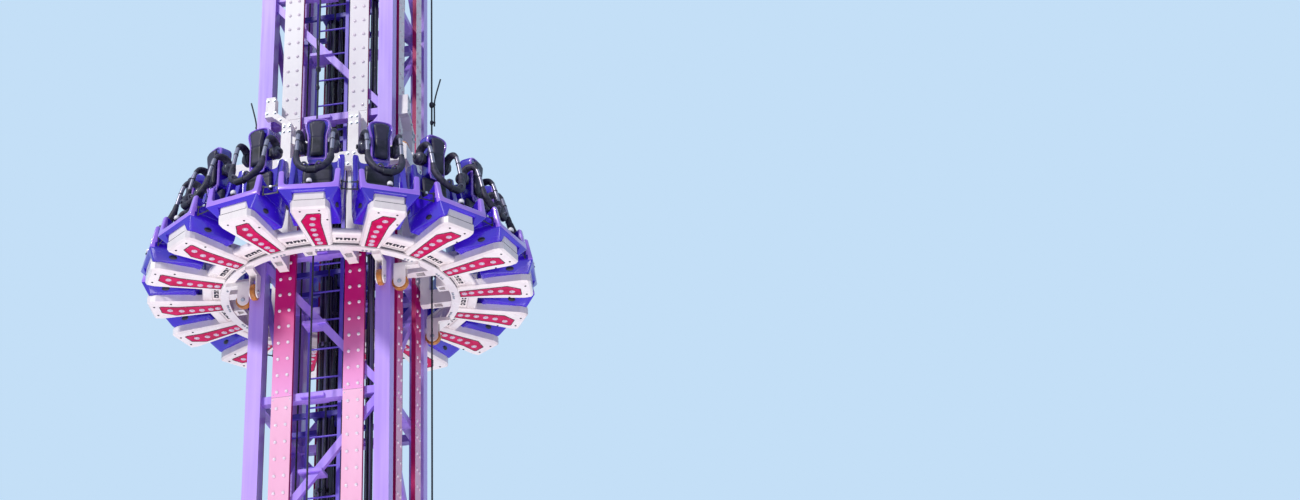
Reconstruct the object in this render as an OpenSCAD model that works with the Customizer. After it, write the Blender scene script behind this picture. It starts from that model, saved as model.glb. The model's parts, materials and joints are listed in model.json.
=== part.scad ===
// Drop tower ride: a square lattice tower with a ring gondola of sixteen seats.
// The origin is on the tower's axis at ground level, +Z is up and -Y is the front face.
// Seats stand at equal angles round the axis, each drawn along +X and then turned into place.

/* [Tower] */
// Outside width of the square tower
tower_w = 2200; // [1900:50:2400]
// Height of one bay of bracing
bay_h = 2400; // [2000:50:2600]
// Number of bays from the ground to the head
bay_n = 6; // [6:1:8]
// Width of a corner post
post_w = 230; // [180:5:260]
// Wall thickness of a corner post
post_wall = 12; // [6:1:20]
// Width of a guide rail
rail_w = 310; // [240:5:330]
// Distance of a guide rail's middle from the middle of its face
rail_x = 545; // [520:5:600]
// Thickness of a guide rail's plate and flanges
rail_t = 20; // [10:1:25]
// Depth of a guide rail from front to back
rail_d = 70; // [50:5:90]
// Height of a horizontal of the bracing
girt_h = 120; // [80:5:160]
// Depth of a horizontal of the bracing
girt_d = 150; // [100:5:180]
// Width of a diagonal across its length
diag_w = 110; // [80:5:140]
// Depth of a diagonal
diag_d = 80; // [50:5:95]

/* [Base and head] */
// Width of a base plate beyond its post
base_plate_edge = 110; // [70:5:150]
// Thickness of a base plate
base_plate_t = 30; // [20:1:50]
// Radius of an anchor hole
anchor_r = 17; // [10:1:20]
// Distance of an anchor hole from the edge of its base plate
anchor_edge = 50; // [40:1:65]
// Height of the ties between the base plates
base_tie_h = 100; // [60:5:120]
// Height of the beams of the head frame
head_h = 200; // [150:10:260]
// Thickness of the head frame's deck
deck_t = 12; // [8:1:20]
// Distance of a head frame's joist from the middle
joist_x = 300; // [250:10:350]
// Width of a head frame's joist
joist_w = 100; // [80:5:120]

/* [Hoist] */
// Distance of a hoist rope's outer strand from the tower's axis
rope_out_r = 1460; // [1450:5:1500]
// Distance of a hoist rope's inner strand from the tower's axis
rope_in_r = 650; // [600:10:700]
// Radius of a hoist rope
rope_r = 14; // [8:1:16]
// Height of a base sheave's axle above the ground
base_sheave_z = 570; // [560:5:620]
// Height of a head sheave's axle above the head frame
head_sheave_up = 520; // [490:10:600]
// Width of a sheave
sheave_w = 70; // [50:5:90]
// Radius of a sheave's axle
sheave_axle_r = 35; // [20:1:45]
// Thickness of a sheave's bearer plate
bearer_t = 25; // [15:1:40]

/* [Inside the tower] */
// Width of the ladder over its stiles
ladder_w = 540; // [400:10:600]
// Distance of the ladder's front from the tower's face
ladder_back = 330; // [300:5:360]
// Width of a ladder stile
stile_w = 55; // [40:5:70]
// Thickness of a ladder stile
stile_t = 25; // [15:1:35]
// Radius of a rung
rung_r = 14; // [9:1:18]
// Rungs in one bay
rungs_per_bay = 5; // [4:1:8]
// Radius of a lift cylinder
lift_r = 105; // [80:5:120]
// Distance of a lift cylinder from the middle planes of the tower
lift_x = 175; // [150:5:200]
// Radius of the dark service pipe
pipe_r = 55; // [35:5:60]
// Radius of a pale conduit
conduit_r = 28; // [15:1:35]

/* [Gondola] */
// Height of the seat trays' underside at rest
gondola_z = 6860; // [6600:10:7000]
// Outside radius of the ring beam's lower flange
ring_r = 1850; // [1800:10:1900]
// Width of the ring beam's lower flange
ring_flange_w = 130; // [100:5:140]
// Height of the ring beam above its lower flange
ring_h = 262; // [200:2:300]
// Plate thickness of the ring beam
ring_t = 22; // [12:1:30]
// Width of the lower flange outside the ring beam's web
ring_ledge = 70; // [60:5:90]
// Distance of the front of the carriage from the tower's face
carriage_gap = 50; // [40:5:90]
// Width and depth of a carriage column
column_w = 150; // [110:5:160]
// Height of the left column of each pair
column_h = 2450; // [2200:10:2600]
// Height of the right column above the left one
column_more = 170; // [0:10:200]
// Height of a corner plate above its column
plate_h = 620; // [500:10:700]
// Width of a corner plate's head
plate_head_w = 160; // [120:5:180]
// Distance of a corner plate's head from its column
plate_reach = 125; // [100:5:150]
// Height of the square frame's underside above the trays' underside
square_z = 1560; // [1450:10:1700]
// Height of the square frame's beams
square_h = 270; // [200:10:300]
// Depth of the square frame's beams
square_d = 130; // [100:5:140]

/* [Guide wheels] */
// Radius of a guide wheel with its tyre
wheel_r = 125; // [100:5:130]
// Radius of a guide wheel's hub
hub_r = 92; // [75:1:98]
// Width of a guide wheel
wheel_w = 80; // [60:5:90]
// Radius of a guide wheel's axle
axle_r = 20; // [14:1:25]
// Distance of the lower wheels' axles under the trays' underside
wheel_drop = 330; // [300:5:350]
// Height of the upper wheels' axles above the square frame
wheel_rise = 190; // [190:5:220]
// Thickness of the plate under a wheel fork
fork_t = 60; // [40:5:60]
// Thickness of a wheel bracket's cheek
cheek_t = 18; // [10:1:25]

/* [Seats] */
// Number of seats
seat_n = 16; // [16:1:16]
// Turn of the ring of seats about the tower's axis
seat_turn = -3.7; // [-11:0.1:11]
// Radius where a tray ends
tray_out = 2990; // [2900:10:3000]
// Height of a tray
tray_h = 262; // [240:2:280]
// Half width of a tray at its inner end
tray_half_in = 160; // [120:5:170]
// Half width of a tray at its outer end
tray_half_out = 290; // [220:5:300]
// Length of a tray's outer corners
corner_l = 140; // [100:5:160]
// Height of a tray's lower step
tray_step = 140; // [120:5:160]
// Half width of the block on a tray's outer end
block_half = 244; // [200:2:250]
// Length of that block
block_l = 220; // [180:5:260]
// Length of a box between two trays
box_l = 300; // [260:10:320]
// Height of its underside above the trays' underside
box_z = 40; // [20:5:60]
// Height of a box's middle part
box_h = 150; // [120:5:180]
// Thickness of the coloured panel under a tray
panel_t = 4; // [3:1:8]
// Radius of the front face of the seat tub
tub_out = 3050; // [3000:5:3080]
// Half width of the seat tub at its front
tub_half = 454; // [400:2:470]
// Thickness of the seat tub's moulded wall
tub_wall = 80; // [60:2:90]
// Height of the seat tub's inner floor
floor_z = 310; // [295:5:330]
// Radius of the front of the seat tub's back panel
back_u = 2330; // [2325:5:2340]
// Height of the seat tub's back panel
back_z = 1140; // [1050:10:1180]
// Height of the seat tub's front lip
lip_z = 400; // [370:5:430]
// Height of the seat tub's front corners
peak_z = 670; // [600:5:700]
// Height of the seat tub's shoulders
shoulder_z = 1280; // [1200:10:1300]
// Height of the seat cushion's top
cushion_z = 430; // [400:5:450]
// Half width of the seat cushion
cushion_half = 262; // [200:5:270]
// Height of the headrest's top
head_z = 1830; // [1750:10:1900]
// Half width of the headrest's shell at its neck
head_half = 150; // [120:5:155]
// Half width of the headrest's shell at its head
head_wide = 190; // [160:5:195]
// Half width of the headrest's pad at its neck
head_pad_half = 105; // [80:5:112]
// Half width of the headrest's pad at its head
head_pad_wide = 126; // [100:2:130]

/* [Restraints] */
// Radius at which a restraint's pivot lies
pivot_u = 2300; // [2280:5:2330]
// Height of a restraint's pivot
pivot_z = 1430; // [1400:5:1460]
// Distance of a restraint arm from the middle of its seat
arm_v = 260; // [250:1:265]
// Radius of a restraint's tube
arm_r = 33; // [24:1:38]
// Radius of a restraint's shoulder hub
shoulder_hub_r = 105; // [80:1:110]
// Length of a restraint's shoulder hub
shoulder_hub_w = 134; // [90:2:136]
// Radius of a restraint's pivot pin
pin_r = 22; // [15:1:28]
// How far a lap bar lies in front of its pivots
arm_reach = 545; // [500:5:560]
// How far a lap bar lies under its pivots
arm_drop = 700; // [660:5:720]

/* [Fits] */
// Gap left between a seated piece and its seat
seat_gap = 0.3; // [0.2:0.1:0.5]
// Gap between a guide wheel and its post
roll_gap = 1; // [0.5:0.5:3]
// Radial clearance of a pin or axle in its hub
pin_gap = 1; // [0.5:0.1:2]
// Radial clearance of a hoist rope in its carriage clamp
rope_gap = 7; // [6:1:10]
// Clearance of a hoist rope over the bottom of a sheave's groove
groove_gap = 0.8; // [0.5:0.1:1.5]

/* [Hidden] */
$fn = 48;

half_w = tower_w / 2;
post_in = half_w - post_w;
tower_h = bay_n * bay_h;
head_top = tower_h + head_h + deck_t;
seat_step = 360 / seat_n;
carriage_y = half_w + carriage_gap;
column_front = carriage_y + column_w;
square_front = column_front + square_d;
post_mid = half_w - post_w / 2;
wheel_y = half_w + roll_gap + wheel_r;
ladder_y = half_w - ladder_back;
sheave_r = (rope_out_r - rope_in_r) / 2;
sheave_y = (rope_out_r + rope_in_r) / 2;
head_sheave_z = head_top + head_sheave_up;
web_out = ring_r - ring_ledge;
tray_in = web_out + 10;
tray_slope = (tray_half_out - tray_half_in) / (tray_out - corner_l - tray_in);
block_in = tray_out - block_l;
gusset_w = 180;
tub_lean = 6;
conduit_y = lift_x + lift_r + 25;
bearer_x = sheave_w / 2 + 25;

function seat_name(stem, i) = str(stem, i < 10 ? "0" : "", i);
function seat_angle(i) = (i - 0.5) * seat_step + seat_turn;
function tray_half(u) = tray_half_in + tray_slope * (u - tray_in);

// Draws its children on all four faces of the tower
module each_face() {
    for (k = [0:3]) rotate([0, 0, 90 * k]) children();
}

// Draws its children at every seat, along +X
module each_seat() {
    for (i = [1:seat_n]) rotate([0, 0, seat_angle(i)]) translate([0, 0, gondola_z]) children();
}

// A box between two corners
module block(a, b) {
    translate(a) cube(b - a);
}

// A round bar along X from x0 to x1
module bar_x(x0, x1, r) {
    translate([x0, 0, 0]) rotate([0, 90, 0]) cylinder(r = r, h = x1 - x0);
}

// One base plate with its four anchor holes
module base_plate() {
    edge = half_w + base_plate_edge;
    inner = post_in - base_plate_edge;
    difference() {
        block([inner, inner, 0], [edge, edge, base_plate_t]);
        for (x = [inner + anchor_edge, edge - anchor_edge])
            for (y = [inner + anchor_edge, edge - anchor_edge])
                translate([x, y, -1]) cylinder(r = anchor_r, h = base_plate_t + 2);
    }
}

// Base plates joined by ties along the four faces, with a plinth for the cylinders in the middle
module base_frame() {
    tie_in = half_w - rail_d - girt_d;
    plinth = conduit_y + conduit_r + 15;
    color("#6a4fd0") union() {
        each_face() base_plate();
        each_face() block([-post_in, -half_w + rail_d, 0], [post_in, -tie_in, base_tie_h]);
        each_face() block([-girt_h / 2, -tie_in, 0], [girt_h / 2, 0, base_tie_h]);
        block([-plinth, -plinth, 0], [plinth, plinth, base_tie_h]);
    }
}

// Square tube posts with cap plates left to the head frame
module corner_posts() {
    color("#b79cf5") each_face() difference() {
        block([post_in, post_in, base_plate_t], [half_w, half_w, tower_h]);
        block([post_in + post_wall, post_in + post_wall, base_plate_t - 1],
              [half_w - post_wall, half_w - post_wall, tower_h + 1]);
    }
}

// One face of the lattice, drawn for the front: horizontals at each bay and one diagonal a bay
module bracing(flip) {
    front = -half_w + rail_d;
    rise = bay_h - girt_h;
    reach = 2 * post_in;
    diag_h = diag_w * sqrt(reach * reach + rise * rise) / reach;
    color("#8f78f0") union() {
        for (k = [1:bay_n]) {
            top = k == bay_n ? 0 : girt_h / 2;
            block([-post_in, front, k * bay_h - girt_h / 2],
                  [post_in, front + girt_d, k * bay_h + top]);
        }
        for (k = [0:bay_n - 1]) {
            side = (k % 2 == 0 ? 1 : -1) * flip;
            low = k == 0 ? base_sheave_z + sheave_r + 120 : k * bay_h + girt_h / 2;
            high = (k + 1) * bay_h - girt_h / 2;
            translate([0, front + diag_d, 0]) rotate([90, 0, 0]) linear_extrude(diag_d)
                polygon([[-side * post_in, high], [-side * post_in, high - diag_h],
                         [side * post_in, low], [side * post_in, low + diag_h]]);
        }
        if (flip == 1) ladder_brackets();
    }
}

// Short shelves that carry the ladder from the front face's members
module ladder_brackets() {
    for (k = [1:bay_n - 1])
        for (z = [k * bay_h, k * bay_h + bay_h / 2])
            block([-ladder_w / 2, -half_w + 30, z - 25], [ladder_w / 6, -ladder_y, z + 25]);
}

// Channel section rails, two on each face, flush with the posts
module guide_rails() {
    color("#f23aa0") each_face() for (s = [-1, 1]) translate([s * rail_x, 0, 0]) difference() {
        block([-rail_w / 2, -half_w, base_tie_h], [rail_w / 2, -half_w + rail_d, tower_h]);
        block([-rail_w / 2 + rail_t, -half_w + rail_t, base_tie_h - 1],
              [rail_w / 2 - rail_t, -half_w + rail_d + 1, tower_h + 1]);
    }
}

// Ladder inside the front face
module ladder() {
    step = bay_h / rungs_per_bay;
    low = base_sheave_z + sheave_r + 150;
    color("#7d66ea") union() {
        for (s = [-1, 1])
            block([s * (ladder_w - stile_w) / 2 - stile_w / 2, -ladder_y, low],
                  [s * (ladder_w - stile_w) / 2 + stile_w / 2, -ladder_y + stile_t, tower_h - girt_h]);
        for (k = [1:floor((tower_h - 2 * girt_h - low) / step)])
            translate([0, -ladder_y + stile_t / 2, low + k * step - step / 2])
                bar_x(-ladder_w / 2 + stile_w / 2, ladder_w / 2 - stile_w / 2, rung_r);
    }
}

// Dark cylinders up the middle of the tower
module lift_cylinders() {
    color("#1b1a2c") for (x = [-lift_x, lift_x]) for (y = [-lift_x, lift_x])
        translate([x, y, base_tie_h]) cylinder(r = lift_r, h = tower_h - girt_h - base_tie_h);
}

// A cross of beams at each bay with a clamp plate for the cylinders
module cylinder_braces() {
    reach = half_w - rail_d - girt_d;
    plate = lift_x + lift_r + 50;
    color("#3f2bb0") for (k = [1:bay_n - 1]) translate([0, 0, k * bay_h]) difference() {
        union() {
            block([-plate, -plate, -20], [plate, plate, 20]);
            for (y = [-1, 1]) block([-reach, y * plate - 30, -40], [reach, y * plate + 30, 40]);
        }
        for (x = [-lift_x, lift_x]) for (y = [-lift_x, lift_x])
            translate([x, y, -50]) cylinder(r = lift_r + seat_gap, h = 100);
        for (y = [-1, 1]) translate([0, y * conduit_y, -50])
            cylinder(r = conduit_r + seat_gap, h = 100);
    }
}

// A dark service pipe beside the right rail and two pale conduits at the cylinders
module service_pipes() {
    px = rail_x + rail_w / 2;
    py = -half_w + rail_d + girt_d + pipe_r + 90;
    color("#23243a") union() {
        translate([px, py, base_tie_h]) cylinder(r = pipe_r, h = tower_h - girt_h - base_tie_h);
        for (k = [1:bay_n - 1])
            block([px - 70, -half_w + rail_d + girt_d, k * bay_h - 35],
                  [px + 70, py, k * bay_h + 35]);
    }
    color("#d8d4e6") for (y = [-1, 1]) translate([0, y * conduit_y, base_tie_h])
        cylinder(r = conduit_r, h = tower_h - girt_h - base_tie_h);
}

// Beams and a deck on top of the posts
module head_frame() {
    color("#8f78f0") union() {
        difference() {
            block([-half_w, -half_w, tower_h], [half_w, half_w, tower_h + head_h]);
            block([-post_in, -post_in, tower_h - 1], [post_in, post_in, tower_h + head_h + 1]);
        }
        each_face() block([-bearer_x - 90, -half_w, tower_h + head_h],
                          [bearer_x + 90, -post_in + 120, tower_h + head_h + deck_t]);
        for (s = [-1, 1]) block([s * joist_x - joist_w / 2, -post_in, tower_h],
                                [s * joist_x + joist_w / 2, post_in, tower_h + head_h]);
    }
}
// A grooved sheave whose axle is along X
module sheave() {
    rim = sheave_r + 25;
    color("#c9cbd6") rotate([0, 90, 0]) difference() {
        rotate_extrude() polygon([
            [sheave_axle_r + pin_gap, -sheave_w / 2], [rim, -sheave_w / 2],
            [rim, -rope_r - 8], [sheave_r - rope_r - groove_gap, -rope_r - 1],
            [sheave_r - rope_r - groove_gap, rope_r + 1], [rim, rope_r + 8],
            [rim, sheave_w / 2], [sheave_axle_r + pin_gap, sheave_w / 2]]);
        for (k = [0:5]) rotate([0, 0, 60 * k]) translate([sheave_r * 0.55, 0, -sheave_w])
            cylinder(r = sheave_r * 0.17, h = 2 * sheave_w);
    }
}

// Two bearer plates with an axle between them, from height 0 up to the axle
module sheave_bearers(down) {
    color("#5a48c4") union() {
        for (s = [-1, 1]) translate([s * bearer_x - (s < 0 ? bearer_t : 0), 0, 0])
            rotate([90, 0, 90]) linear_extrude(bearer_t)
                polygon([[-130, -down], [130, -down], [75, 40], [40, 75], [-40, 75], [-75, 40]]);
        bar_x(-bearer_x - bearer_t - 20, bearer_x + bearer_t + 20, sheave_axle_r);
    }
}

// Sheaves at the head, one over each face, on their bearers
module head_sheaves() {
    each_face() translate([0, -sheave_y, head_sheave_z]) {
        sheave();
        sheave_bearers(head_sheave_up);
    }
}

// Sheaves at the foot, one under each face, on their bearers
module base_sheaves() {
    each_face() translate([0, -sheave_y, base_sheave_z]) {
        sheave();
        sheave_bearers(base_sheave_z - base_tie_h);
    }
}

// One closed rope loop: two straight strands and a half turn round each sheave
module rope_loop() {
    for (y = [rope_in_r, rope_out_r]) translate([0, -y, base_sheave_z])
        cylinder(r = rope_r, h = head_sheave_z - base_sheave_z);
    translate([0, -sheave_y, head_sheave_z]) rotate([90, 0, 90]) rotate_extrude(angle = 180)
        translate([sheave_r, 0]) circle(r = rope_r);
    translate([0, -sheave_y, base_sheave_z]) rotate([-90, 0, 90]) rotate_extrude(angle = 180)
        translate([sheave_r, 0]) circle(r = rope_r);
}

module hoist_ropes() {
    color("#2a2a30") each_face() rope_loop();
}

// Channel section ring that carries the trays
module ring_beam() {
    lip_in = ring_r - ring_flange_w;
    color("#f2ece6") translate([0, 0, gondola_z]) rotate_extrude($fn = 96) polygon([
        [lip_in, -ring_t], [ring_r, -ring_t], [ring_r, 0], [web_out, 0], [web_out, ring_h],
        [lip_in, ring_h], [lip_in, ring_h - ring_t], [web_out - ring_t, ring_h - ring_t],
        [web_out - ring_t, 0], [lip_in, 0]]);
}

// Box gussets from the ring to the carriage columns, each with a tapered window
module ring_gussets() {
    inner = ring_h - ring_t;
    color("#efe7e2") each_face() translate([0, 0, gondola_z]) intersection() {
        cylinder(r = web_out - ring_t, h = inner, $fn = 96);
        union() {
            for (s = [-1, 1]) translate([s * rail_x, 0, 0]) difference() {
                block([-gusset_w / 2, -ring_r, 0], [gusset_w / 2, -column_front, inner]);
                translate([0, 0, -1]) linear_extrude(inner + 2)
                    polygon([[-50, -column_front - 60], [50, -column_front - 60],
                             [60, -column_front - 190], [-60, -column_front - 190]]);
            }
            difference() {
                block([-gusset_w / 2, -ring_r, 0], [gusset_w / 2, -rope_out_r - 90, inner]);
                translate([0, 0, -1]) linear_extrude(inner + 2)
                    polygon([[-35, -rope_out_r - 120], [35, -rope_out_r - 120],
                             [55, -rope_out_r - 210], [-55, -rope_out_r - 210]]);
            }
        }
    }
}

// Carriage columns in front of the guide rails, with one diagonal on each face
module carriage_columns() {
    low = square_z + square_h - 130;
    span = 2 * rail_x - column_w;
    color("#f4efec") each_face() translate([0, 0, gondola_z]) union() {
        for (s = [-1, 1]) translate([s * rail_x, 0, 0])
            block([-column_w / 2, -column_front, 0],
                  [column_w / 2, -carriage_y, column_h + (s > 0 ? column_more : 0)]);
        translate([0, -column_front + 100, 0]) rotate([90, 0, 0]) linear_extrude(70)
            polygon([[-span / 2, column_h - 120], [-span / 2, column_h - 250],
                     [span / 2, low], [span / 2, low + 130]]);
    }
}

// Square frame round the columns
module square_frame() {
    color("#f4efec") translate([0, 0, gondola_z + square_z]) difference() {
        block([-square_front, -square_front, 0], [square_front, square_front, square_h]);
        block([-column_front, -column_front, -1], [column_front, column_front, square_h + 1]);
    }
}

// Cranked plates on the left columns, which reach sideways past the rails to the posts
module corner_plates() {
    outer = -rail_x - column_w / 2;
    head = outer - plate_reach;
    brace = 0.18 * plate_h;
    color("#f4efec") each_face() translate([0, -carriage_y, gondola_z + column_h + seat_gap])
        rotate([90, 0, 0]) linear_extrude(column_w) polygon([
            [outer, 0], [outer + column_w, 0], [outer + column_w, brace], [head, 0.56 * plate_h],
            [head, plate_h], [head - plate_head_w + 15, plate_h], [head - plate_head_w, 0.42 * plate_h],
            [head - 45, 0.42 * plate_h], [outer, brace]]);
}

// Clamps that guide the ropes past the square frame
module rope_clamps() {
    bore = rope_r + rope_gap;
    color("#d9d6dc") each_face() translate([0, 0, gondola_z + square_z + 60]) difference() {
        block([-bore - 22, -rope_out_r - bore - 20, 0], [bore + 22, -square_front, square_h - 120]);
        translate([0, -rope_out_r, -1]) cylinder(r = bore, h = square_h);
    }
}

// One cheek, a plate with a round end at the axle, up or down to the beam that carries it
module cheek(reach) {
    end_r = wheel_r - 32;
    rotate([90, 0, 90]) linear_extrude(cheek_t) {
        circle(r = end_r);
        translate([-end_r, min(0, reach)]) square([2 * end_r, abs(reach)]);
    }
}

// A fork of two cheeks with its axle, for a wheel whose axle is along X
module wheel_fork(reach) {
    inside = wheel_w / 2 + 3;
    for (s = [-1, 1]) translate([s * inside - (s < 0 ? cheek_t : 0), 0, 0]) cheek(reach);
    bar_x(-inside - cheek_t - 12, inside + cheek_t + 12, axle_r);
}

// Places a piece at the front wheel of every corner, on both of the corner's faces
module each_wheel() {
    for (k = [0:3]) for (s = [-1, 1]) rotate([0, 0, 90 * k])
        translate([s * post_mid, -wheel_y, gondola_z]) children();
}

// Forks under the ring for the lower wheels and on the square frame for the upper ones
module wheel_brackets() {
    half = wheel_w / 2 + 3 + cheek_t;
    end_y = wheel_y - sqrt(ring_r * ring_r - pow(post_mid + half, 2)) + 12;
    color("#f2ece6") {
        each_wheel() union() {
            translate([0, 0, -wheel_drop]) wheel_fork(wheel_drop - ring_t - fork_t);
            block([-half, end_y, -ring_t - fork_t], [half, wheel_r - 32, -ring_t]);
        }
        each_wheel() translate([0, 0, square_z + square_h + seat_gap]) union() {
            translate([0, 0, wheel_rise]) wheel_fork(fork_t - wheel_rise);
            block([-half, wheel_y - square_front, 0], [half, wheel_r - 32, fork_t]);
        }
    }
}

module wheel_hubs() {
    color("#efe9e4") for (z = [-wheel_drop, square_z + square_h + seat_gap + wheel_rise])
        each_wheel() translate([0, 0, z]) rotate([0, 90, 0]) difference() {
            cylinder(r = hub_r, h = wheel_w, center = true);
            cylinder(r = axle_r + seat_gap, h = wheel_w + 2, center = true);
        }
}

module wheel_tyres() {
    color("#c07a2e") for (z = [-wheel_drop, square_z + square_h + seat_gap + wheel_rise])
        each_wheel() translate([0, 0, z]) rotate([0, 90, 0]) rotate_extrude() polygon([
            [hub_r, -wheel_w / 2], [wheel_r - 10, -wheel_w / 2], [wheel_r, -wheel_w / 2 + 10],
            [wheel_r, wheel_w / 2 - 10], [wheel_r - 10, wheel_w / 2], [hub_r, wheel_w / 2]]);
}

// Plan outline of a tray, drawn in by an inset
function tray_plan(inset) = [
    [tray_in, tray_half_in - inset], [tray_out - corner_l, tray_half_out - inset],
    [tray_out - 0.4 * corner_l - inset / 2, tray_half_out - 0.1 * corner_l - inset],
    [tray_out - inset, tray_half_out - 0.35 * corner_l],
    [tray_out - inset, 0.35 * corner_l - tray_half_out],
    [tray_out - 0.4 * corner_l - inset / 2, 0.1 * corner_l + inset - tray_half_out],
    [tray_out - corner_l, inset - tray_half_out], [tray_in, inset - tray_half_in]];

// White pods under the seats: a bevelled step of full length, with a block at each end
module seat_trays() {
    bevel = 30;
    root_out = back_u - 185;
    root_half = tray_half_in - 10;
    color("#f3e9e4") each_seat() union() {
        hull() {
            linear_extrude(1) polygon(tray_plan(bevel));
            translate([0, 0, bevel]) linear_extrude(tray_step - bevel) polygon(tray_plan(0));
        }
        block([tray_in, -root_half, bevel], [root_out, root_half, tray_h]);
        translate([0, 0, bevel]) linear_extrude(tray_h - bevel) polygon([
            [block_in, -block_half], [tray_out - bevel, -block_half], [tray_out, bevel - block_half],
            [tray_out, block_half - bevel], [tray_out - bevel, block_half], [block_in, block_half]]);
    }
}

// Crimson panels on the trays' undersides, wider and cut off at one corner towards the outside
module tray_panels() {
    a = ring_r + 12;
    b = tray_out - 1.2 * corner_l;
    w = tray_half_out;
    color("#c0164f") each_seat() translate([0, 0, -panel_t - seat_gap]) linear_extrude(panel_t) polygon([
        [a, 0.34 * w], [b - 0.3 * (b - a), 0.37 * w], [b - 0.1 * w, 0.52 * w], [b, 0.46 * w],
        [b, -0.19 * w], [b - 0.7 * w, -0.59 * w], [a, -0.3 * w]]);
}

// Point on the side of a tray, seen from the middle of the gap beside it
function gap_point(u) = let (h = seat_step / 2)
    [u * cos(h) + tray_half(u) * sin(h), u * sin(h) - tray_half(u) * cos(h) - seat_gap];

// Boxes between the trays, each with a stub that points outwards
module tray_boxes() {
    a = gap_point(tray_in + 20);
    b = gap_point(tray_in + box_l);
    stub_r = tray_half_in / 2;
    stub = b[0] + stub_r;
    color("#f0e6e1") for (i = [1:seat_n]) rotate([0, 0, seat_angle(i) + seat_step / 2])
        translate([0, 0, gondola_z]) union() {
            translate([0, 0, box_z]) linear_extrude(tray_step - box_z)
                polygon([[a[0], -a[1]], [b[0], -b[1]], [b[0], b[1]], [a[0], a[1]]]);
            translate([0, 0, box_z]) linear_extrude(box_h) {
                translate([a[0], -stub_r]) square([stub - a[0], 2 * stub_r]);
                translate([stub, 0]) circle(r = stub_r);
            }
        }
}

// Stations of the seat tub from back to front: radius, underside in the middle and at the sides,
// side wall top, inner floor, half widths at the underside, the floor and the top as shares,
// and how far the underside and the top lie behind the floor
function tub_stations() = let (s = tray_step, h = tray_h, f = floor_z) [
    [back_u - 200, 560, 560, shoulder_z - 70, back_z - 50, 0.72, 0.80, 0.84, 0, 0],
    [back_u - 150, 330, 330, shoulder_z, back_z, 0.76, 0.82, 0.86, 0, 0],
    [back_u - 105, s, s, shoulder_z, back_z, 0.78, 0.83, 0.87, 0, 0],
    [back_u - tub_lean, s, s, shoulder_z - 10, back_z, 0.78, 0.84, 0.88, 0, 0],
    [back_u, s, s, shoulder_z - 70, f, 0.78, 0.84, 0.89, 0, 0],
    [back_u + 70, s, s, 900, f, 0.77, 0.86, 0.90, 0, 0],
    [back_u + 190, s, s, 620, f, 0.75, 0.89, 0.92, 0, 0],
    [back_u + 370, s, s, 545, f, 0.70, 0.93, 0.95, 0, 0],
    [block_in - 12, s, s, 562, f, 0.68, 0.95, 0.965, 0, 0],
    [block_in - 1, h, s, 565, f, 0.68, 0.95, 0.967, 0, 0],
    [tub_out - 190, h, s, peak_z - 60, f, 0.665, 0.965, 0.98, 20, 0],
    [tub_out - 100, h, s, peak_z, f, 0.66, 0.98, 1, 60, 20],
    [tub_out - 85, h, s, peak_z, lip_z, 0.66, 0.985, 1, 62, 24],
    [tub_out - 18, h + 2, s + 3, peak_z - 6, lip_z, 0.655, 0.985, 1, 88, 76],
    [tub_out, h + 8, s + 14, peak_z - 26, lip_z - 14, 0.64, 0.97, 0.98, 90, 80]];

// One closed ring of a station: up the outside, over the walls and inner floor, and along the
// underside with its step over the tray's block
function tub_ring(s) = let (
        half = block_half + seat_gap, bm = s[1] + seat_gap, bs = s[2] + seat_gap, t = s[3], f = s[4],
        w = max(floor_z, bs + 90), ob = s[5] * tub_half, ow = s[6] * tub_half, ot = s[7] * tub_half,
        iw = ow - tub_wall - 6, it = ot - tub_wall,
        low = s[8] / (floor_z - tray_step), high = s[9] / (peak_z - floor_z),
        flat = s[1] == s[2] ? half - 40 : half,
        side = [[ob, bs], [ow, w], [ot, t], [it, t], [iw, f]],
        ring = concat([for (p = side) [-p[0], p[1]]], [for (k = [4:-1:0]) side[k]],
                      [[half, bs], [flat, bm], [-flat, bm], [-half, bs]]))
    [for (p = ring) [s[0] - low * max(0, floor_z - p[1]) - high * max(0, p[1] - floor_z), p[0], p[1]]];

// Skin of a loft through rings of n points each; its ends can be closed by quads of ring points
module loft(rings, quads = []) {
    n = len(rings[0]);
    m = len(rings);
    polyhedron(
        points = [for (ring = rings) for (p = ring) p],
        faces = concat(
            quads == [] ? [[for (j = [n - 1:-1:0]) j]] : [
                for (q = quads) for (k = [1:2]) [q[k + 1], q[k], q[0]]],
            quads == [] ? [[for (j = [0:n - 1]) (m - 1) * n + j]] : [
                for (q = quads) for (k = [1:2]) [for (j = [q[0], q[k], q[k + 1]]) (m - 1) * n + j]],
            [for (i = [0:m - 2]) for (j = [0:n - 1]) [i * n + j, i * n + (j + 1) % n, (i + 1) * n + j]],
            [for (i = [0:m - 2]) for (j = [0:n - 1])
                [i * n + (j + 1) % n, (i + 1) * n + (j + 1) % n, (i + 1) * n + j]]));
}

// Moulded tubs with raised front corners and shoulders
module seat_tubs() {
    color("#4a22e0") each_seat()
        loft([for (s = tub_stations()) tub_ring(s)],
             [[1, 2, 3, 4], [1, 4, 5, 8], [5, 6, 7, 8], [8, 9, 10, 11], [8, 11, 12, 1], [1, 12, 13, 0]]);
}

// A pad with bevelled edges between two corners
module pad(a, b, edge) {
    hull() {
        block(a + [edge, edge, 0], b - [edge, edge, 0]);
        block(a + [0, edge, edge], b - [0, edge, edge]);
        block(a + [edge, 0, edge], b - [edge, 0, edge]);
    }
}

module seat_cushions() {
    color("#1d1c24") each_seat()
        pad([back_u + 15, -cushion_half, floor_z + seat_gap],
            [tub_out - 120, cushion_half, cushion_z], 25);
}

// Back pads stand in front of the tub's back panel
module back_pads() {
    low = cushion_z + 15;
    rear = back_u - tub_lean * (low - floor_z) / (back_z - floor_z) + seat_gap;
    color("#1d1c24") each_seat()
        pad([rear, 20 - cushion_half, low], [rear + 64, cushion_half - 20, back_z - 30], 15);
}

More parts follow.
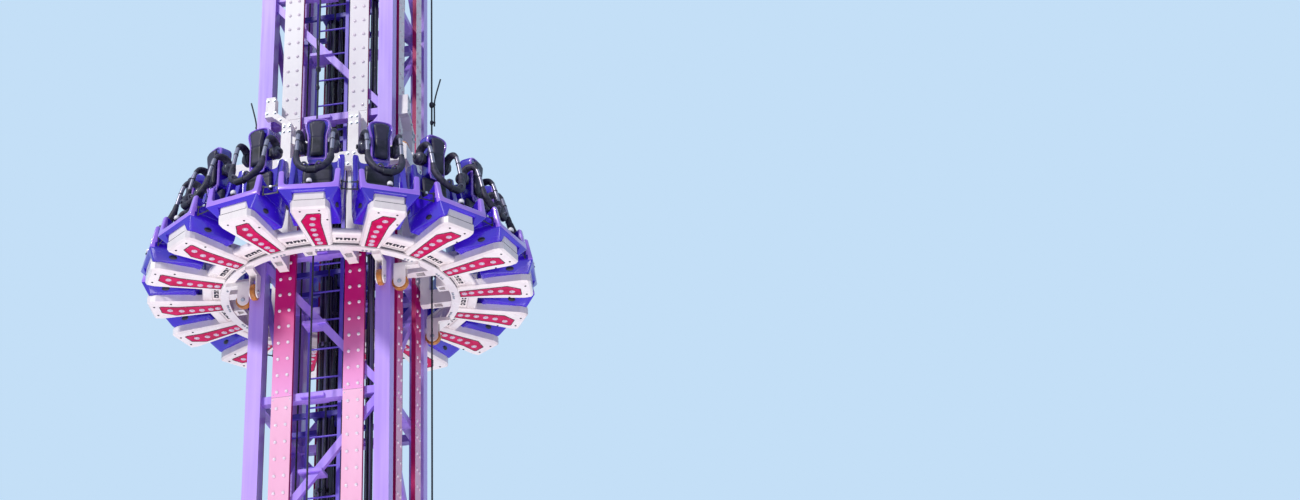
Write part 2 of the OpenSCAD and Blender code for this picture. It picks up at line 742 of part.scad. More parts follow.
// Outline of a headrest from low to high: a neck, a wider head and a rounded crown
function headrest_outline(neck, wide, low, high) = let (
        crown = 0.68 * wide, z = high - crown, side = [[neck, low], [neck, low + 0.63 * (z - low)]])
    concat(side, [for (a = [0:15:180]) [wide * cos(a), z + crown * sin(a)]],
           [[-side[1][0], side[1][1]], [-side[0][0], side[0][1]]]);

// Shells that rise from the back panel behind the headrest pads
module headrest_shells() {
    depth = 230;
    color("#5a35d8") each_seat() translate([back_u + 100 - depth, 0, 0]) rotate([90, 0, 90])
        linear_extrude(depth) polygon(headrest_outline(head_half, head_wide, back_z + seat_gap, head_z));
}

module headrest_pads() {
    color("#23222c") each_seat() translate([back_u + 100 + seat_gap, 0, 0]) rotate([90, 0, 90])
        linear_extrude(55)
            polygon(headrest_outline(head_pad_half, head_pad_wide, back_z + 50, head_z - 45));
}

// Brackets on both sides of a headrest shell, each with the pin of a restraint arm
module pivot_brackets() {
    pin_end = arm_v + shoulder_hub_w / 2 + 6;
    foot = arm_v - shoulder_hub_w / 2 - 5;
    color("#2a2932") each_seat() for (s = [-1, 1]) mirror([0, s < 0 ? 1 : 0, 0]) union() {
        block([pivot_u - 60, head_half + seat_gap, pivot_z - 70], [pivot_u + 60, foot, pivot_z + 50]);
        translate([pivot_u, foot - 5, pivot_z]) rotate([-90, 0, 0]) cylinder(r = pin_r, h = pin_end - foot + 5);
        translate([pivot_u, pin_end, pivot_z]) rotate([-90, 0, 0]) cylinder(r = pin_r + 14, h = 12);
    }
}

// Middle line of a restraint's tube on the +Y side, from the shoulder hub to the lap bar,
// in shares of its reach, its distance from the middle and its drop
function arm_shares() = [
    [0.03, 1, 0.07], [0.07, 1, 0.16], [0.20, 1, 0.22], [0.36, 1, 0.21], [0.48, 1, 0.12], [0.57, 1, -0.09],
    [0.67, 1, -0.41], [0.72, 0.99, -0.57], [0.79, 0.91, -0.70], [0.91, 0.66, -0.87],
    [1, 0.20, -1]];
function arm_path() = let (
        h = [for (s = arm_shares()) [pivot_u + s[0] * arm_reach, s[1] * arm_v, pivot_z + s[2] * arm_drop]])
    concat(h, [for (i = [len(h) - 1:-1:0]) [h[i][0], -h[i][1], h[i][2]]]);

function unit(v) = v / norm(v);
// Direction of a path at point i
function path_dir(p, i) = unit(p[min(i + 1, len(p) - 1)] - p[max(i - 1, 0)]);
// Side vectors along a path, each carried over from the one before without twist
function path_sides(p, i, a) = let (d = path_dir(p, i), b = unit(a - (a * d) * d))
    i == len(p) - 1 ? [b] : concat([b], path_sides(p, i + 1, b));
// Ring of a tube of radius r at point i
function tube_ring(p, side, i, r, n) = let (b = cross(path_dir(p, i), side))
    [for (k = [0:n - 1]) p[i] + r * (cos(360 * k / n) * side - sin(360 * k / n) * b)];

// One restraint: two shoulder hubs and the bent tube between them
module restraint(i) {
    path = arm_path();
    sides = path_sides(path, 0, [0, 1, 0]);
    color("#17161c") rotate([0, 0, seat_angle(i)]) translate([0, 0, gondola_z]) union() {
        loft([for (j = [0:len(path) - 1]) tube_ring(path, sides[j], j, arm_r, 8)]);
        for (s = [-1, 1]) translate([pivot_u, s * arm_v, pivot_z]) rotate([90, 0, 0]) difference() {
            cylinder(r = shoulder_hub_r, h = shoulder_hub_w, center = true);
            cylinder(r = pin_r + pin_gap, h = shoulder_hub_w + 2, center = true);
        }
    }
}

base_frame();
corner_posts();
bracing(1);  // bracing_front
rotate([0, 0, 90]) bracing(-1);  // bracing_right
rotate([0, 0, 180]) bracing(1);  // bracing_back
rotate([0, 0, 270]) bracing(-1);  // bracing_left
guide_rails();
ladder();
lift_cylinders();
cylinder_braces();
service_pipes();
head_frame();
head_sheaves();
base_sheaves();
hoist_ropes();
ring_beam();
ring_gussets();
carriage_columns();
square_frame();
corner_plates();
rope_clamps();
wheel_brackets();
wheel_hubs();
wheel_tyres();
seat_trays();
tray_panels();
tray_boxes();
seat_tubs();
seat_cushions();
back_pads();
headrest_shells();
headrest_pads();
pivot_brackets();
for (i = [1:seat_n]) restraint(i);
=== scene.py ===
import json
from math import atan2, copysign, cos, pi, radians, sin, tau

import bmesh
import bpy
import numpy as np
from mathutils import Matrix, Vector


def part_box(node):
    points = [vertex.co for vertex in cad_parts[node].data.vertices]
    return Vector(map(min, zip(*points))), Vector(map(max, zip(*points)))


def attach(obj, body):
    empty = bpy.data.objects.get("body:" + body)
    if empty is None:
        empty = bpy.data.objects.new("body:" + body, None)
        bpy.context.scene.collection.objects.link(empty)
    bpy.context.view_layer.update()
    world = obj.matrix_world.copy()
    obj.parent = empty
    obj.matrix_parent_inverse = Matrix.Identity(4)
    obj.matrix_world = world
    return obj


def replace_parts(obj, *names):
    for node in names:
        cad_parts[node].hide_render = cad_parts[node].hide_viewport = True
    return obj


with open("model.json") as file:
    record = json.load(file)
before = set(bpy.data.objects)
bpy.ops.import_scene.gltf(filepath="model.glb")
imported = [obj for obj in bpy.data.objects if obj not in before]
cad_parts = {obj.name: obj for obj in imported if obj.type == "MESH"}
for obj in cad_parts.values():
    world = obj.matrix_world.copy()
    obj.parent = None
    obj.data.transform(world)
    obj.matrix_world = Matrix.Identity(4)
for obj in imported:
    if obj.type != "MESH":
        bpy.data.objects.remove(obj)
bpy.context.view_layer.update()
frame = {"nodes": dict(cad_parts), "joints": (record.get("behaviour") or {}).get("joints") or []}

# The view. The ride is looked up at from far in front, a little to the right and from lower land, through a long
# lens. Places are metres in the model's frame.
scene = bpy.context.scene
view_turn, view_rise = radians(17.1), radians(26.76)
view_distance, view_target_z = 34.41, 6.86
view_yaw, view_tilt, view_roll = 0.1591, 0.0207, -0.0543


def along(turn, rise):
    """Unit vector at a turn from +Y towards +X and a rise above the horizon."""
    return Vector((sin(turn) * cos(rise), cos(turn) * cos(rise), sin(rise)))


look = along(view_yaw - view_turn, view_rise + view_tilt)
level = look.cross(Vector((0, 0, 1))).normalized()
upward = level.cross(look)
camera = bpy.data.objects.new("camera", bpy.data.cameras.new("camera"))
camera.data.lens = 60.3
camera.data.clip_end = 300
camera.matrix_world = Matrix.Translation(
    Vector((0, 0, view_target_z)) - view_distance * along(-view_turn, view_rise)
) @ Matrix((level, upward, -look)).transposed().to_4x4() @ Matrix.Rotation(view_roll, 4, "Z")
scene.collection.objects.link(camera)
scene.camera = camera
scene.view_settings.view_transform = "Standard"


# The light. An open pale sky all round, one hard lamp high on the left, where the photograph has the sun, and a wide
# soft one from almost straight below, which stands for the light that the pale ground throws back.
class Wire:
    """One output in a shader's node tree. Sums on it add Math nodes; node() makes any other node."""

    def __init__(self, tree, socket=None):
        self.tree, self.socket = tree, socket

    def node(self, kind, settings, sockets, out=0):
        made = self.tree.nodes.new("ShaderNode" + kind)
        for name, value in settings.items():
            setattr(made, name, value)
        for name, value in sockets.items():
            if isinstance(value, Wire):
                self.tree.links.new(value.socket, made.inputs[name])
            else:
                made.inputs[name].default_value = value
        return Wire(self.tree, made.outputs[out] if made.outputs else None)

    def maths(self, operation, first, second):
        return self.node("Math", {"operation": operation}, {0: first, 1: second})

    def __add__(self, other):
        return self.maths("ADD", self, other)

    def __sub__(self, other):
        return self.maths("SUBTRACT", self, other)

    def __rsub__(self, other):
        return self.maths("SUBTRACT", other, self)

    def __mul__(self, other):
        return self.maths("MULTIPLY", self, other)

    def __gt__(self, other):
        return self.maths("GREATER_THAN", self, other)

    def __lt__(self, other):
        return self.maths("LESS_THAN", self, other)

    __radd__, __rmul__ = __add__, __mul__

    def larger(self, other):
        return self.maths("MAXIMUM", self, other)

    def ramp(self, low, high):
        """0 where this is under low, 1 where it is over high."""
        return self.node("MapRange", {}, {"Value": self, "From Min": low, "From Max": high})

    def mix(self, none, full):
        """The colour none where this is 0 and full where it is 1, as wires or as 0 to 255 screen values."""
        ends = [end if isinstance(end, Wire) else shade(*end) for end in (none, full)]
        return self.node("Mix", {"data_type": "RGBA"}, {0: self, 6: ends[0], 7: ends[1]}, 2)


def shade(red, green, blue):
    """A colour named by its 0 to 255 screen values, as the linear colour that a shader takes."""
    return tuple(((c / 255 + 0.055) / 1.055) ** 2.4 if c > 10 else c / 3294.6 for c in (red, green, blue)) + (1,)


sky_colour = shade(196, 223, 247)
sky_light = shade(212, 220, 250)
sky_strength = 0.4
world = bpy.data.worlds.new("sky")
scene.world = world
world.use_nodes = True
world.node_tree.nodes.clear()
sky = Wire(world.node_tree)
seen = sky.node("LightPath", {}, {}, "Is Camera Ray")
for kind in ("Is Glossy Ray", "Is Transmission Ray"):
    seen = seen.larger(sky.node("LightPath", {}, {}, kind))
sky.node("OutputWorld", {}, {"Surface": sky.node("MixShader", {}, {
    0: seen,
    1: sky.node("Background", {}, {"Color": sky_light, "Strength": sky_strength}),
    2: sky.node("Background", {}, {"Color": sky_colour, "Strength": 1})})})

for name, turn, rise, power, spread, colour in (
        ("high_lamp", -150, 38, 2.2, 6, (1, 0.985, 0.96)),
        ("low_lamp", 165, -77, 2.55, 50, (1, 0.93, 0.94))):
    lamp = bpy.data.objects.new(name, bpy.data.lights.new(name, "SUN"))
    lamp.data.energy, lamp.data.angle, lamp.data.color = power, radians(spread), colour
    lamp.rotation_mode = "QUATERNION"
    lamp.rotation_quaternion = along(radians(turn), radians(rise)).to_track_quat("Z", "Y")
    scene.collection.objects.link(lamp)


# The ground. A round pad of pale concrete, no wider than stays out of the picture. It takes the ride's shadow but casts
# none, so that the lamp from below shines through it.
pad_radius = 6.2


def finish(name, fixed, layers):
    """A Principled material: fixed goes on the shader's own sockets, layers(wire) gives what varies."""
    made = bpy.data.materials.new(name)
    made.use_nodes = True
    surface = made.node_tree.nodes["Principled BSDF"]
    for socket, value in fixed.items():
        surface.inputs[socket].default_value = value
    for socket, wire in layers(Wire(made.node_tree)).items():
        made.node_tree.links.new(wire.socket, surface.inputs[socket])
    return made


def own_space(wire):
    """Where a point of the surface lies in the object's own space."""
    return wire.node("TexCoord", {}, {}, 3)


def grain(wire, stretch, detail=3):
    """Smooth noise with cells of 1/stretch metres; stretch is one number, or one for each axis."""
    each = stretch if isinstance(stretch, tuple) else (stretch,) * 3
    place = wire.node("VectorMath", {"operation": "MULTIPLY"}, {0: own_space(wire), 1: each})
    return wire.node("TexNoise", {}, {"Vector": place, "Scale": 1, "Detail": detail})


def raised(wire, height, depth):
    """A normal from a height map, depth metres high."""
    return wire.node("Bump", {}, {"Height": height, "Distance": depth, "Strength": 0.6})


def mottled(name, fixed, cells, detail, band, colours, rough, grit=None, over=None):
    """A finish in soft patches of two colours. The patches are a grain, with a second one of (share, cells, detail)
    mixed over it, inside a band; rough is (least, gain) and grit is (cells, detail, height)."""
    def layers(wire):
        patch = grain(wire, cells, detail)
        if over:
            patch = patch * (1 - over[0]) + grain(wire, *over[1:]) * over[0]
        patch = patch.ramp(*band)
        made = {"Base Color": patch.mix(*colours), "Roughness": patch * rough[1] + rough[0]}
        if grit:
            made["Normal"] = raised(wire, grain(wire, *grit[:2]), grit[2])
        return made
    return finish(name, fixed, layers)


def put(name, mesh, materials, body):
    """Links a mesh as a named piece on a body, smooth but for its sharp edges."""
    piece = bpy.data.objects.new(name, mesh)
    for material in materials:
        mesh.materials.append(material)
    mesh.polygons.foreach_set("use_smooth", [True] * len(mesh.polygons))
    mesh.set_sharp_from_angle(angle=radians(32))
    scene.collection.objects.link(piece)
    if body:
        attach(piece, body)
    return piece


concrete = mottled("concrete", {}, 0.7, 6, (0.35, 0.7), ((226, 226, 224), (238, 238, 236)),
                   (0.9, 0), (40, 3, 0.002))
disc = bmesh.new()
bmesh.ops.create_circle(disc, cap_ends=True, radius=pad_radius, segments=96)
pad_mesh = bpy.data.meshes.new("ground_pad")
disc.to_mesh(pad_mesh)
disc.free()
ground = put("ground_pad", pad_mesh, [concrete], None)
ground.location.z = -0.001
ground.visible_shadow = False


# The lattice. Welded box section steel: four square posts, horizontals and one diagonal a bay on each side, under
# semi-gloss lavender paint with faint rain runs, which is deeper on the inner members. On the bracing and the ladder
# the deeper tone is partly their own paint and partly painted shade.
def sprayed(name, *colours):
    """Semi-gloss paint in two tones, with rain runs."""
    return mottled(name, {"Coat Weight": 0.25, "Coat Roughness": 0.12}, (1.1, 1.1, 0.5), 4, (0.38, 0.66), colours,
                   (0.36, 0.12), (90, 2, 0.0006), (0.45, (16, 16, 0.45), 3))


def dress(node, *materials):
    """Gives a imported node's own slots their finishes."""
    for place, held in enumerate(frame["nodes"][node].material_slots):
        held.material = materials[min(place, len(materials) - 1)]


lavender = sprayed("lavender_paint", (196, 160, 252), (174, 136, 246))
# The bracing's deeper lavender is partly its own paint and partly painted shade.
girt_lavender_and_painted_shade = sprayed("girt_paint_and_painted_shade", (186, 148, 250), (154, 114, 238))
# The ladder's violet is partly its own paint and partly painted shade.
violet = sprayed("violet_paint_and_painted_shade", (122, 92, 230), (96, 66, 210))
indigo = sprayed("indigo_paint", (76, 50, 196), (52, 32, 158))
dress("corner_posts", lavender)
dress("head_frame", lavender)
for side in ("front", "right", "back", "left"):
    dress("bracing_" + side, girt_lavender_and_painted_shade)
dress("ladder", violet)
dress("base_frame", indigo)
dress("cylinder_braces", indigo)


# Anchor bolts. Four galvanised foundation bolts stand in each foot plate, each with a washer, a hexagon nut and the
# threaded end left above it; the plates lie on the concrete.
def shift(x, y, z):
    return Matrix.Translation((x, y, z))


def circle(sides):
    """The corners of a round as (cosine, sine)."""
    return [(cos(tau * k / sides), sin(tau * k / sides)) for k in range(sides)]


def loft(rings, closed=False, index=0, into=None, loop=False):
    """A skin through closed rings of points; loop joins the last ring to the first one."""
    out = into or bmesh.new()
    made = [[out.verts.new(p) for p in ring] for ring in rings]
    count = len(made[0])
    for low, high in zip(made, made[1:] + made[:1] if loop else made[1:]):
        for k in range(count):
            out.faces.new((low[k], low[(k + 1) % count], high[(k + 1) % count], high[k])).material_index = index
    if closed:
        out.faces.new(made[0][::-1]).material_index = index
        out.faces.new(made[-1]).material_index = index
    return out


def turned(profile, sides, at=Matrix(), index=0, into=None):
    """A surface of revolution about Z through (radius, height) points, closed at both ends."""
    return loft([[at @ Vector((radius * c, radius * s, height)) for c, s in circle(sides)]
                 for radius, height in profile], True, index, into)


def repeated(name, pattern, places, materials, body="gondola"):
    """One piece that holds a copy of a pattern at every place; the pattern is used up."""
    pattern.verts.index_update()
    corners = np.array([v.co[:] for v in pattern.verts])
    faces = [[v.index for v in face.verts] for face in pattern.faces]
    kinds = [face.material_index for face in pattern.faces]
    pattern.free()
    spread = [corners @ np.array(place.to_3x3()).T + np.array(place.translation) for place in places]
    mesh = bpy.data.meshes.new(name)
    mesh.from_pydata(np.concatenate(spread).tolist(), [],
                     [[v + k * len(corners) for v in face] for k in range(len(places)) for face in faces])
    mesh.polygons.foreach_set("material_index", kinds * len(places))
    return put(name, mesh, materials, body)


def galvanised(wire):
    spangle = wire.node("TexVoronoi", {}, {"Vector": own_space(wire), "Scale": 160})
    return {"Base Color": spangle.mix((200, 202, 210), (160, 164, 174)),
            "Roughness": spangle * 0.2 + 0.35}


zinc = finish("zinc", {"Metallic": 0.85}, galvanised)
anchor_plate_t = 0.03
anchor_near, anchor_far = 0.81, 1.16
square = ((-1, -1), (1, -1), (1, 1), (-1, 1))
bolt = turned([(0.031, 0), (0.031, 0.005)], 24)
turned([(0.0265, 0.005), (0.029, 0.008), (0.029, 0.026), (0.0265, 0.029)], 6, into=bolt)
turned([(0.0148, 0.029), (0.0148, 0.062), (0.0125, 0.066)], 16, into=bolt)
repeated("anchor_bolts", bolt,
         [shift(sx * x, sy * y, anchor_plate_t) for sx, sy in square
          for x in (anchor_near, anchor_far) for y in (anchor_near, anchor_far)], [zinc], "tower")


# Guide rails. Folded steel channels bolted to the horizontals, two on every side. Their faces are sprayed white above
# the seats, hot pink in the bay below them and pale pink under that. The hot pink deepens to magenta towards the top of
# its bay; that is painted shade under the gondola. The flanges are crimson; that is painted shade too, the pink paint
# as it looks on a rail's shaded side. Joints show as a line.
tower_half = 1.1
bay, bays = 2.4, 6
pink_low, pink_high = 2 * bay, 3 * bay


def axes(wire):
    """The x, y and z of a point of the surface, in the object's own space."""
    return [wire.node("SeparateXYZ", {}, {0: own_space(wire)}, k) for k in range(3)]


def rail_layers(wire):
    x, y, z = axes(wire)
    outer = x.maths("ABSOLUTE", x, 0).larger(y.maths("ABSOLUTE", y, 0)) > tower_half - 0.004
    cloud = grain(wire, (1.5, 1.5, 0.4), 4).ramp(0.35, 0.65)
    # The hot pink deepens to magenta towards the top of its bay: painted shade under the gondola.
    painted_shade_fade = z.ramp(pink_low - 0.1, pink_high - 0.9)
    white = cloud.mix((247, 243, 245), (240, 232, 239))
    hot = painted_shade_fade.mix((254, 172, 232), (208, 2, 120))
    pale = cloud.mix((254, 196, 226), (250, 182, 216))
    plate = (z > pink_high).mix((z > pink_low).mix(pale, hot), white)
    # The flanges' crimson is painted shade: the pink paint as it looks on a rail's shaded side.
    side = cloud.mix((206, 30, 112), (160, 14, 84))
    seam = z.maths("PINGPONG", z, bay / 2) < 0.0025
    return {"Base Color": seam.mix(outer.mix(side, plate), (120, 88, 110)), "Roughness": cloud * 0.1 + 0.32,
            "Normal": raised(wire, grain(wire, 70, 2), 0.0005)}


dress("guide_rails", finish("rail_paint_and_painted_shade", {"Specular IOR Level": 0.25, "Coat Weight": 0.05}, rail_layers))

rail_middle = 0.545
bolt_row, bolt_pitch, first_bolt, bolt_rows_high = 0.074, 0.268, 0.33, 52
head = turned([(0.026, 0), (0.0262, 0.005), (0.0225, 0.0125), (0.0135, 0.0175), (0.004, 0.019)], 12)


def round_tower(here):
    """A place and its three repeats on the tower's other sides."""
    return [Matrix.Rotation(pi / 2 * side, 4, "Z") @ here for side in range(4)]


def on_faces(spots, out=tower_half):
    """Places on all four sides at spots (sideways x, height z), with the pattern's Z pointing outwards."""
    return [place for x, z in spots for place in round_tower(shift(x, -out, z) @ Matrix.Rotation(pi / 2, 4, "X"))]


enamel = mottled("bolt_enamel", {"Coat Weight": 0.4}, 30, 3, (0.3, 0.7),
                 ((250, 238, 246), (232, 214, 228)), (0.25, 0.1))
repeated("rail_bolts", head, on_faces([
    (side * rail_middle + row * bolt_row, first_bolt + k * bolt_pitch) for k in range(bolt_rows_high)
    for side, row in square]), [enamel], "tower")


# Joint screws. The rails come in lengths of one bay, butted end to end. A small countersunk screw sits near each
# corner of a length, above and below the line.
screw_row, screw_rise = 0.128, 0.045
repeated("joint_screws", turned([(0.0085, 0), (0.0085, 0.002), (0.006, 0.0034)], 10), on_faces([
    (side * rail_middle + row * screw_row, joint * bay + up * screw_rise) for joint in range(1, bays)
    for side in (-1, 1) for row, up in square]), [zinc], "tower")


# Lift cylinders. Black enamelled steel tubes stand in the middle of the tower, with bolted collars at half bays; long
# light streaks down them are painted highlights. A service pipe and pale conduits run beside them.
# The pale vertical streaks on the black are painted highlights.
black_paint_painted_highlights = mottled("cylinder_paint_painted_highlights", {"Coat Weight": 0.5, "Coat Roughness": 0.15}, (26, 26, 0.25), 4, (0.52, 0.66),
                     ((20, 18, 40), (172, 162, 204)), (0.22, 0.25), ((60, 60, 3), 3, 0.0008))
conduit_grey = mottled("conduit_plastic", {}, (20, 20, 0.8), 4, (0.4, 0.7),
                       ((228, 222, 236), (176, 168, 196)), (0.4, 0.2))
dress("lift_cylinders", black_paint_painted_highlights)
dress("service_pipes", black_paint_painted_highlights, conduit_grey)

cylinder_x, collar_bore = 0.175, 0.1054
collar = turned([(collar_bore, -0.035), (0.124, -0.033), (0.126, -0.004), (0.118, 0), (0.126, 0.004),
                 (0.124, 0.033), (collar_bore, 0.035)], 32)
repeated("cylinder_collars", collar,
         [shift(sx * cylinder_x, sy * cylinder_x, (k + 0.5) * bay) for sx, sy in square for k in range(bays)],
         [black_paint_painted_highlights], "tower")
conduit_y, first_clip, clip_pitch, clips_high = 0.305, 0.5, 0.6, 22
clip = turned([(0.0285, -0.02), (0.034, -0.018), (0.034, 0.018), (0.0285, 0.02)], 20)
repeated("conduit_clips", clip,
         [shift(0, sy * conduit_y, k * clip_pitch + first_clip) for sy in (-1, 1) for k in range(clips_high)],
         [black_paint_painted_highlights], "tower")


# Sheaves and ropes. Cast rope wheels painted grey, polished by the rope in their grooves, turn on bearers at the head
# and at the foot; the hoist ropes are greased six-strand steel wire.
def rope_lay(wire):
    x, y, z = axes(wire)
    lay = wire.node("CombineXYZ", {}, {"X": z * 160 + (x + y) * 190})
    strand = wire.node("TexWave", {}, {"Vector": lay, "Scale": 0.32})
    return {"Base Color": strand.mix((24, 24, 28), (86, 86, 94)), "Roughness": strand * 0.1 + 0.4,
            "Normal": raised(wire, strand, 0.003)}


cast = mottled("cast_sheave", {"Metallic": 0.3}, 4, 3, (0.35, 0.65),
               ((196, 198, 208), (164, 166, 180)), (0.4, 0.15), (55, 5, 0.0012))
rope = finish("rope_wire", {"Metallic": 0.6}, rope_lay)
dress("head_sheaves", cast)
dress("base_sheaves", cast)
dress("hoist_ropes", rope)


# Gondola steel. The ring, its box gussets, the carriage columns, the square frame and the seat pods are white, under a
# warm gloss top coat that has gone faintly pink and dusty in soft patches.
def gloss_white(name, *colours):
    """Gloss top coat in two tones, with dust."""
    return mottled(name, {"Coat Weight": 0.35, "Coat Roughness": 0.08}, 1.6, 5, (0.42, 0.68), colours,
                   (0.26, 0.16), (60, 2, 0.0005), (0.4, (9, 9, 3), 4))


white = gloss_white("white_top_coat", (250, 245, 243), (234, 224, 226))
pod_white = gloss_white("pod_gel_coat", (250, 243, 241), (236, 224, 226))
for node in ("ring_beam", "ring_gussets", "carriage_columns", "square_frame", "corner_plates", "wheel_brackets",
             "wheel_hubs"):
    dress(node, white)
dress("seat_trays", pod_white)
dress("rope_clamps", cast)


# Frame bolts. Hexagon bolts with washers hold the square frame to the columns and the columns' splice plates.
gondola_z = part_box("seat_trays")[0].z
frame_low, frame_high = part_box("square_frame")
column_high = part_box("carriage_columns")[1]
frame_front = frame_high.y


def bolted(name, places):
    """A piece of hexagon bolts with washers on white steel."""
    made = turned([(0.026, 0), (0.026, 0.004)], 20)
    turned([(0.0175, 0.004), (0.019, 0.006), (0.019, 0.015), (0.0165, 0.017)], 6, into=made)
    return repeated(name, made, places, [zinc])


frame_mid = (frame_low.z + frame_high.z) / 2
frame_bolt_x, frame_bolt_z = 0.05, 0.09
splice_bolt_x, splice_drops = 0.045, (0.09, 0.21)
frame_spots = [(side * rail_middle + left * frame_bolt_x, frame_mid + up * frame_bolt_z)
               for side in (-1, 1) for left, up in square]
splice_spots = [(side * rail_middle + left * splice_bolt_x, column_high.z - drop)
                for side, left in square for drop in splice_drops]
bolted("frame_bolts", on_faces(frame_spots, frame_front) + on_faces(splice_spots, column_high.y))


# Guide wheels. Steel hubs with thick amber polyurethane tyres run on the posts. Each axle ends in a nut and a domed
# grease cap outside the cheeks.
def amber(wire):
    swirl = grain(wire, 14, 4)
    return {"Base Color": swirl.ramp(0.35, 0.7).mix((206, 132, 48), (150, 84, 26)),
            "Roughness": swirl * 0.2 + 0.3, "Normal": raised(wire, grain(wire, 200), 0.0004)}


dress("wheel_tyres", finish("amber_tyre", {"Coat Weight": 0.2}, amber))
post_middle, wheel_radius, roll_gap, cheek_out = 0.985, 0.125, 0.001, 0.0612
wheel_drop, wheel_rise, fork_bolt_x, fork_bolt_z = 0.33, 0.1903, 0.038, 0.03
axle_nut = bmesh.new()
for profile, sides in (([(0.034, 0), (0.034, 0.004)], 24),
                       ([(0.027, 0.004), (0.029, 0.007), (0.029, 0.0115), (0.0265, 0.013)], 6),
                       ([(0.0225, 0.013), (0.0215, 0.018), (0.014, 0.0215), (0.005, 0.0225)], 20)):
    turned([(radius, cheek_out + height) for radius, height in profile], sides, into=axle_nut)
repeated("axle_nuts", axle_nut,
         [place for side, end in square for z in (gondola_z - wheel_drop, frame_high.z + wheel_rise)
          for place in round_tower(shift(side * post_middle, -tower_half - roll_gap - wheel_radius, z)
                                   @ Matrix.Rotation(end * pi / 2, 4, "Y"))],
         [zinc])
fork_spots = [(side * post_middle + left * fork_bolt_x, frame_high.z + fork_bolt_z) for side, left in square]
bolted("fork_bolts", on_faces(fork_spots, frame_front))


# Seat pods. Each seat stands on a white moulded pod. A crimson panel with a dark painted border is let into its
# underside, wider at its outer end, with six round clusters of lamps in clear domes.
seat_count = 16
half_turn = pi / seat_count
hinge_axes = {joint["name"]: joint["axis"] for joint in frame["joints"]}
seat_turns = [atan2(axis[0], -axis[1])
              for axis in (hinge_axes["restraint_%02d_swing" % k] for k in range(1, seat_count + 1))]
seats = [Matrix.Rotation(turn, 4, "Z") @ shift(0, 0, gondola_z) for turn in seat_turns]
dress("tray_panels", mottled("panel_crimson", {"Specular IOR Level": 0.2}, 6, 4, (0.35, 0.65),
                             ((212, 8, 94), (184, 4, 74)), (0.4, 0.1)))
panel_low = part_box("tray_panels")[0].z - gondola_z
lamp_places = ((2.68, 0.015), (2.505, -0.025), (2.345, -0.034), (2.19, -0.033), (2.045, -0.022), (1.935, -0.008))


def lens_dome(wire):
    dots = wire.node("TexVoronoi", {}, {"Vector": own_space(wire), "Scale": 55})
    return {"Base Color": dots.ramp(0.2, 0.5).mix((250, 240, 248), (206, 184, 204)),
            "Roughness": dots * 0.3 + 0.1}


lens_clear = finish("lamp_lens", {"Coat Weight": 1, "Coat Roughness": 0.04}, lens_dome)
dome = turned([(0.044, 0), (0.044, -0.006), (0.037, -0.009), (0.033, -0.006), (0.031, -0.006), (0.028, -0.013),
               (0.018, -0.019), (0.006, -0.021)], 20)
repeated("panel_lamps", dome, [seat @ shift(u, v, panel_low) for seat in seats for u, v in lamp_places],
         [lens_clear])


# Panel trims. A black rubber profile runs round each crimson panel and covers its cut edge, held by small screws.
def outline_of(node, matrix, level):
    """Corner points (x, y) of a packed plate's island at a place, in that place's own axes, in order round it."""
    held, back = frame["nodes"][node], matrix.inverted()
    points = set()
    for corner in held.data.vertices:
        local = back @ corner.co
        if abs(local.z - level) < 0.0012 and abs(atan2(local.y, local.x)) < half_turn:
            points.add((round(local.x, 4), round(local.y, 4)))
    middle = [sum(p[k] for p in points) / len(points) for k in range(2)]
    return sorted(points, key=lambda p: atan2(p[1] - middle[1], p[0] - middle[0]))


def moved_in(points, distance):
    """The outline with every side moved inwards, for points that go round anticlockwise."""
    moved = []
    for k, here in enumerate(points):
        before, after = Vector(points[k - 1]), Vector(points[(k + 1) % len(points)])
        here = Vector(here)
        first, second = (here - before).normalized(), (after - here).normalized()
        inward = Vector((-first.y - second.y, first.x + second.x))
        moved.append(here + inward * distance / max(0.3, 1 + first.dot(second)))
    return moved


black_rubber, bracket_coat = (
    mottled(name, {}, 12, 4, (0.35, 0.7), ((20, 16, 30), (46, 40, 60)), (0.45, 0.15), (240, 2, 0.0004))
    for name in ("black_rubber", "bracket_powder_coat"))
panel_edge = outline_of("tray_panels", seats[0], panel_low)
trim_w, trim_t, trim_lap = 0.009, 0.004, 0.0025
trim = loft([[(*p, z) for p in moved_in(panel_edge, inset)] for inset, z in (
    (-trim_lap, panel_low + 0.0034), (-trim_lap, panel_low - 0.4 * trim_t), (0, panel_low - trim_t),
    (trim_w - 0.003, panel_low - trim_t), (trim_w, panel_low - 0.0004))])
repeated("panel_trims", trim, seats, [black_rubber])

screw_pitch = 0.2
trim_screw = turned([(0.0062, 0), (0.006, -0.0012), (0.0035, -0.0024)], 10)
trim_line = [Vector(p) for p in moved_in(panel_edge, trim_w / 2)]
screw_spots = []
for here, after in zip(trim_line, trim_line[1:] + trim_line[:1]):
    count = max(1, round((after - here).length / screw_pitch))
    screw_spots += [here.lerp(after, (k + 0.5) / count) for k in range(count)]
repeated("trim_screws", trim_screw,
         [seat @ shift(p.x, p.y, panel_low - trim_t) for seat in seats for p in screw_spots],
         [zinc])


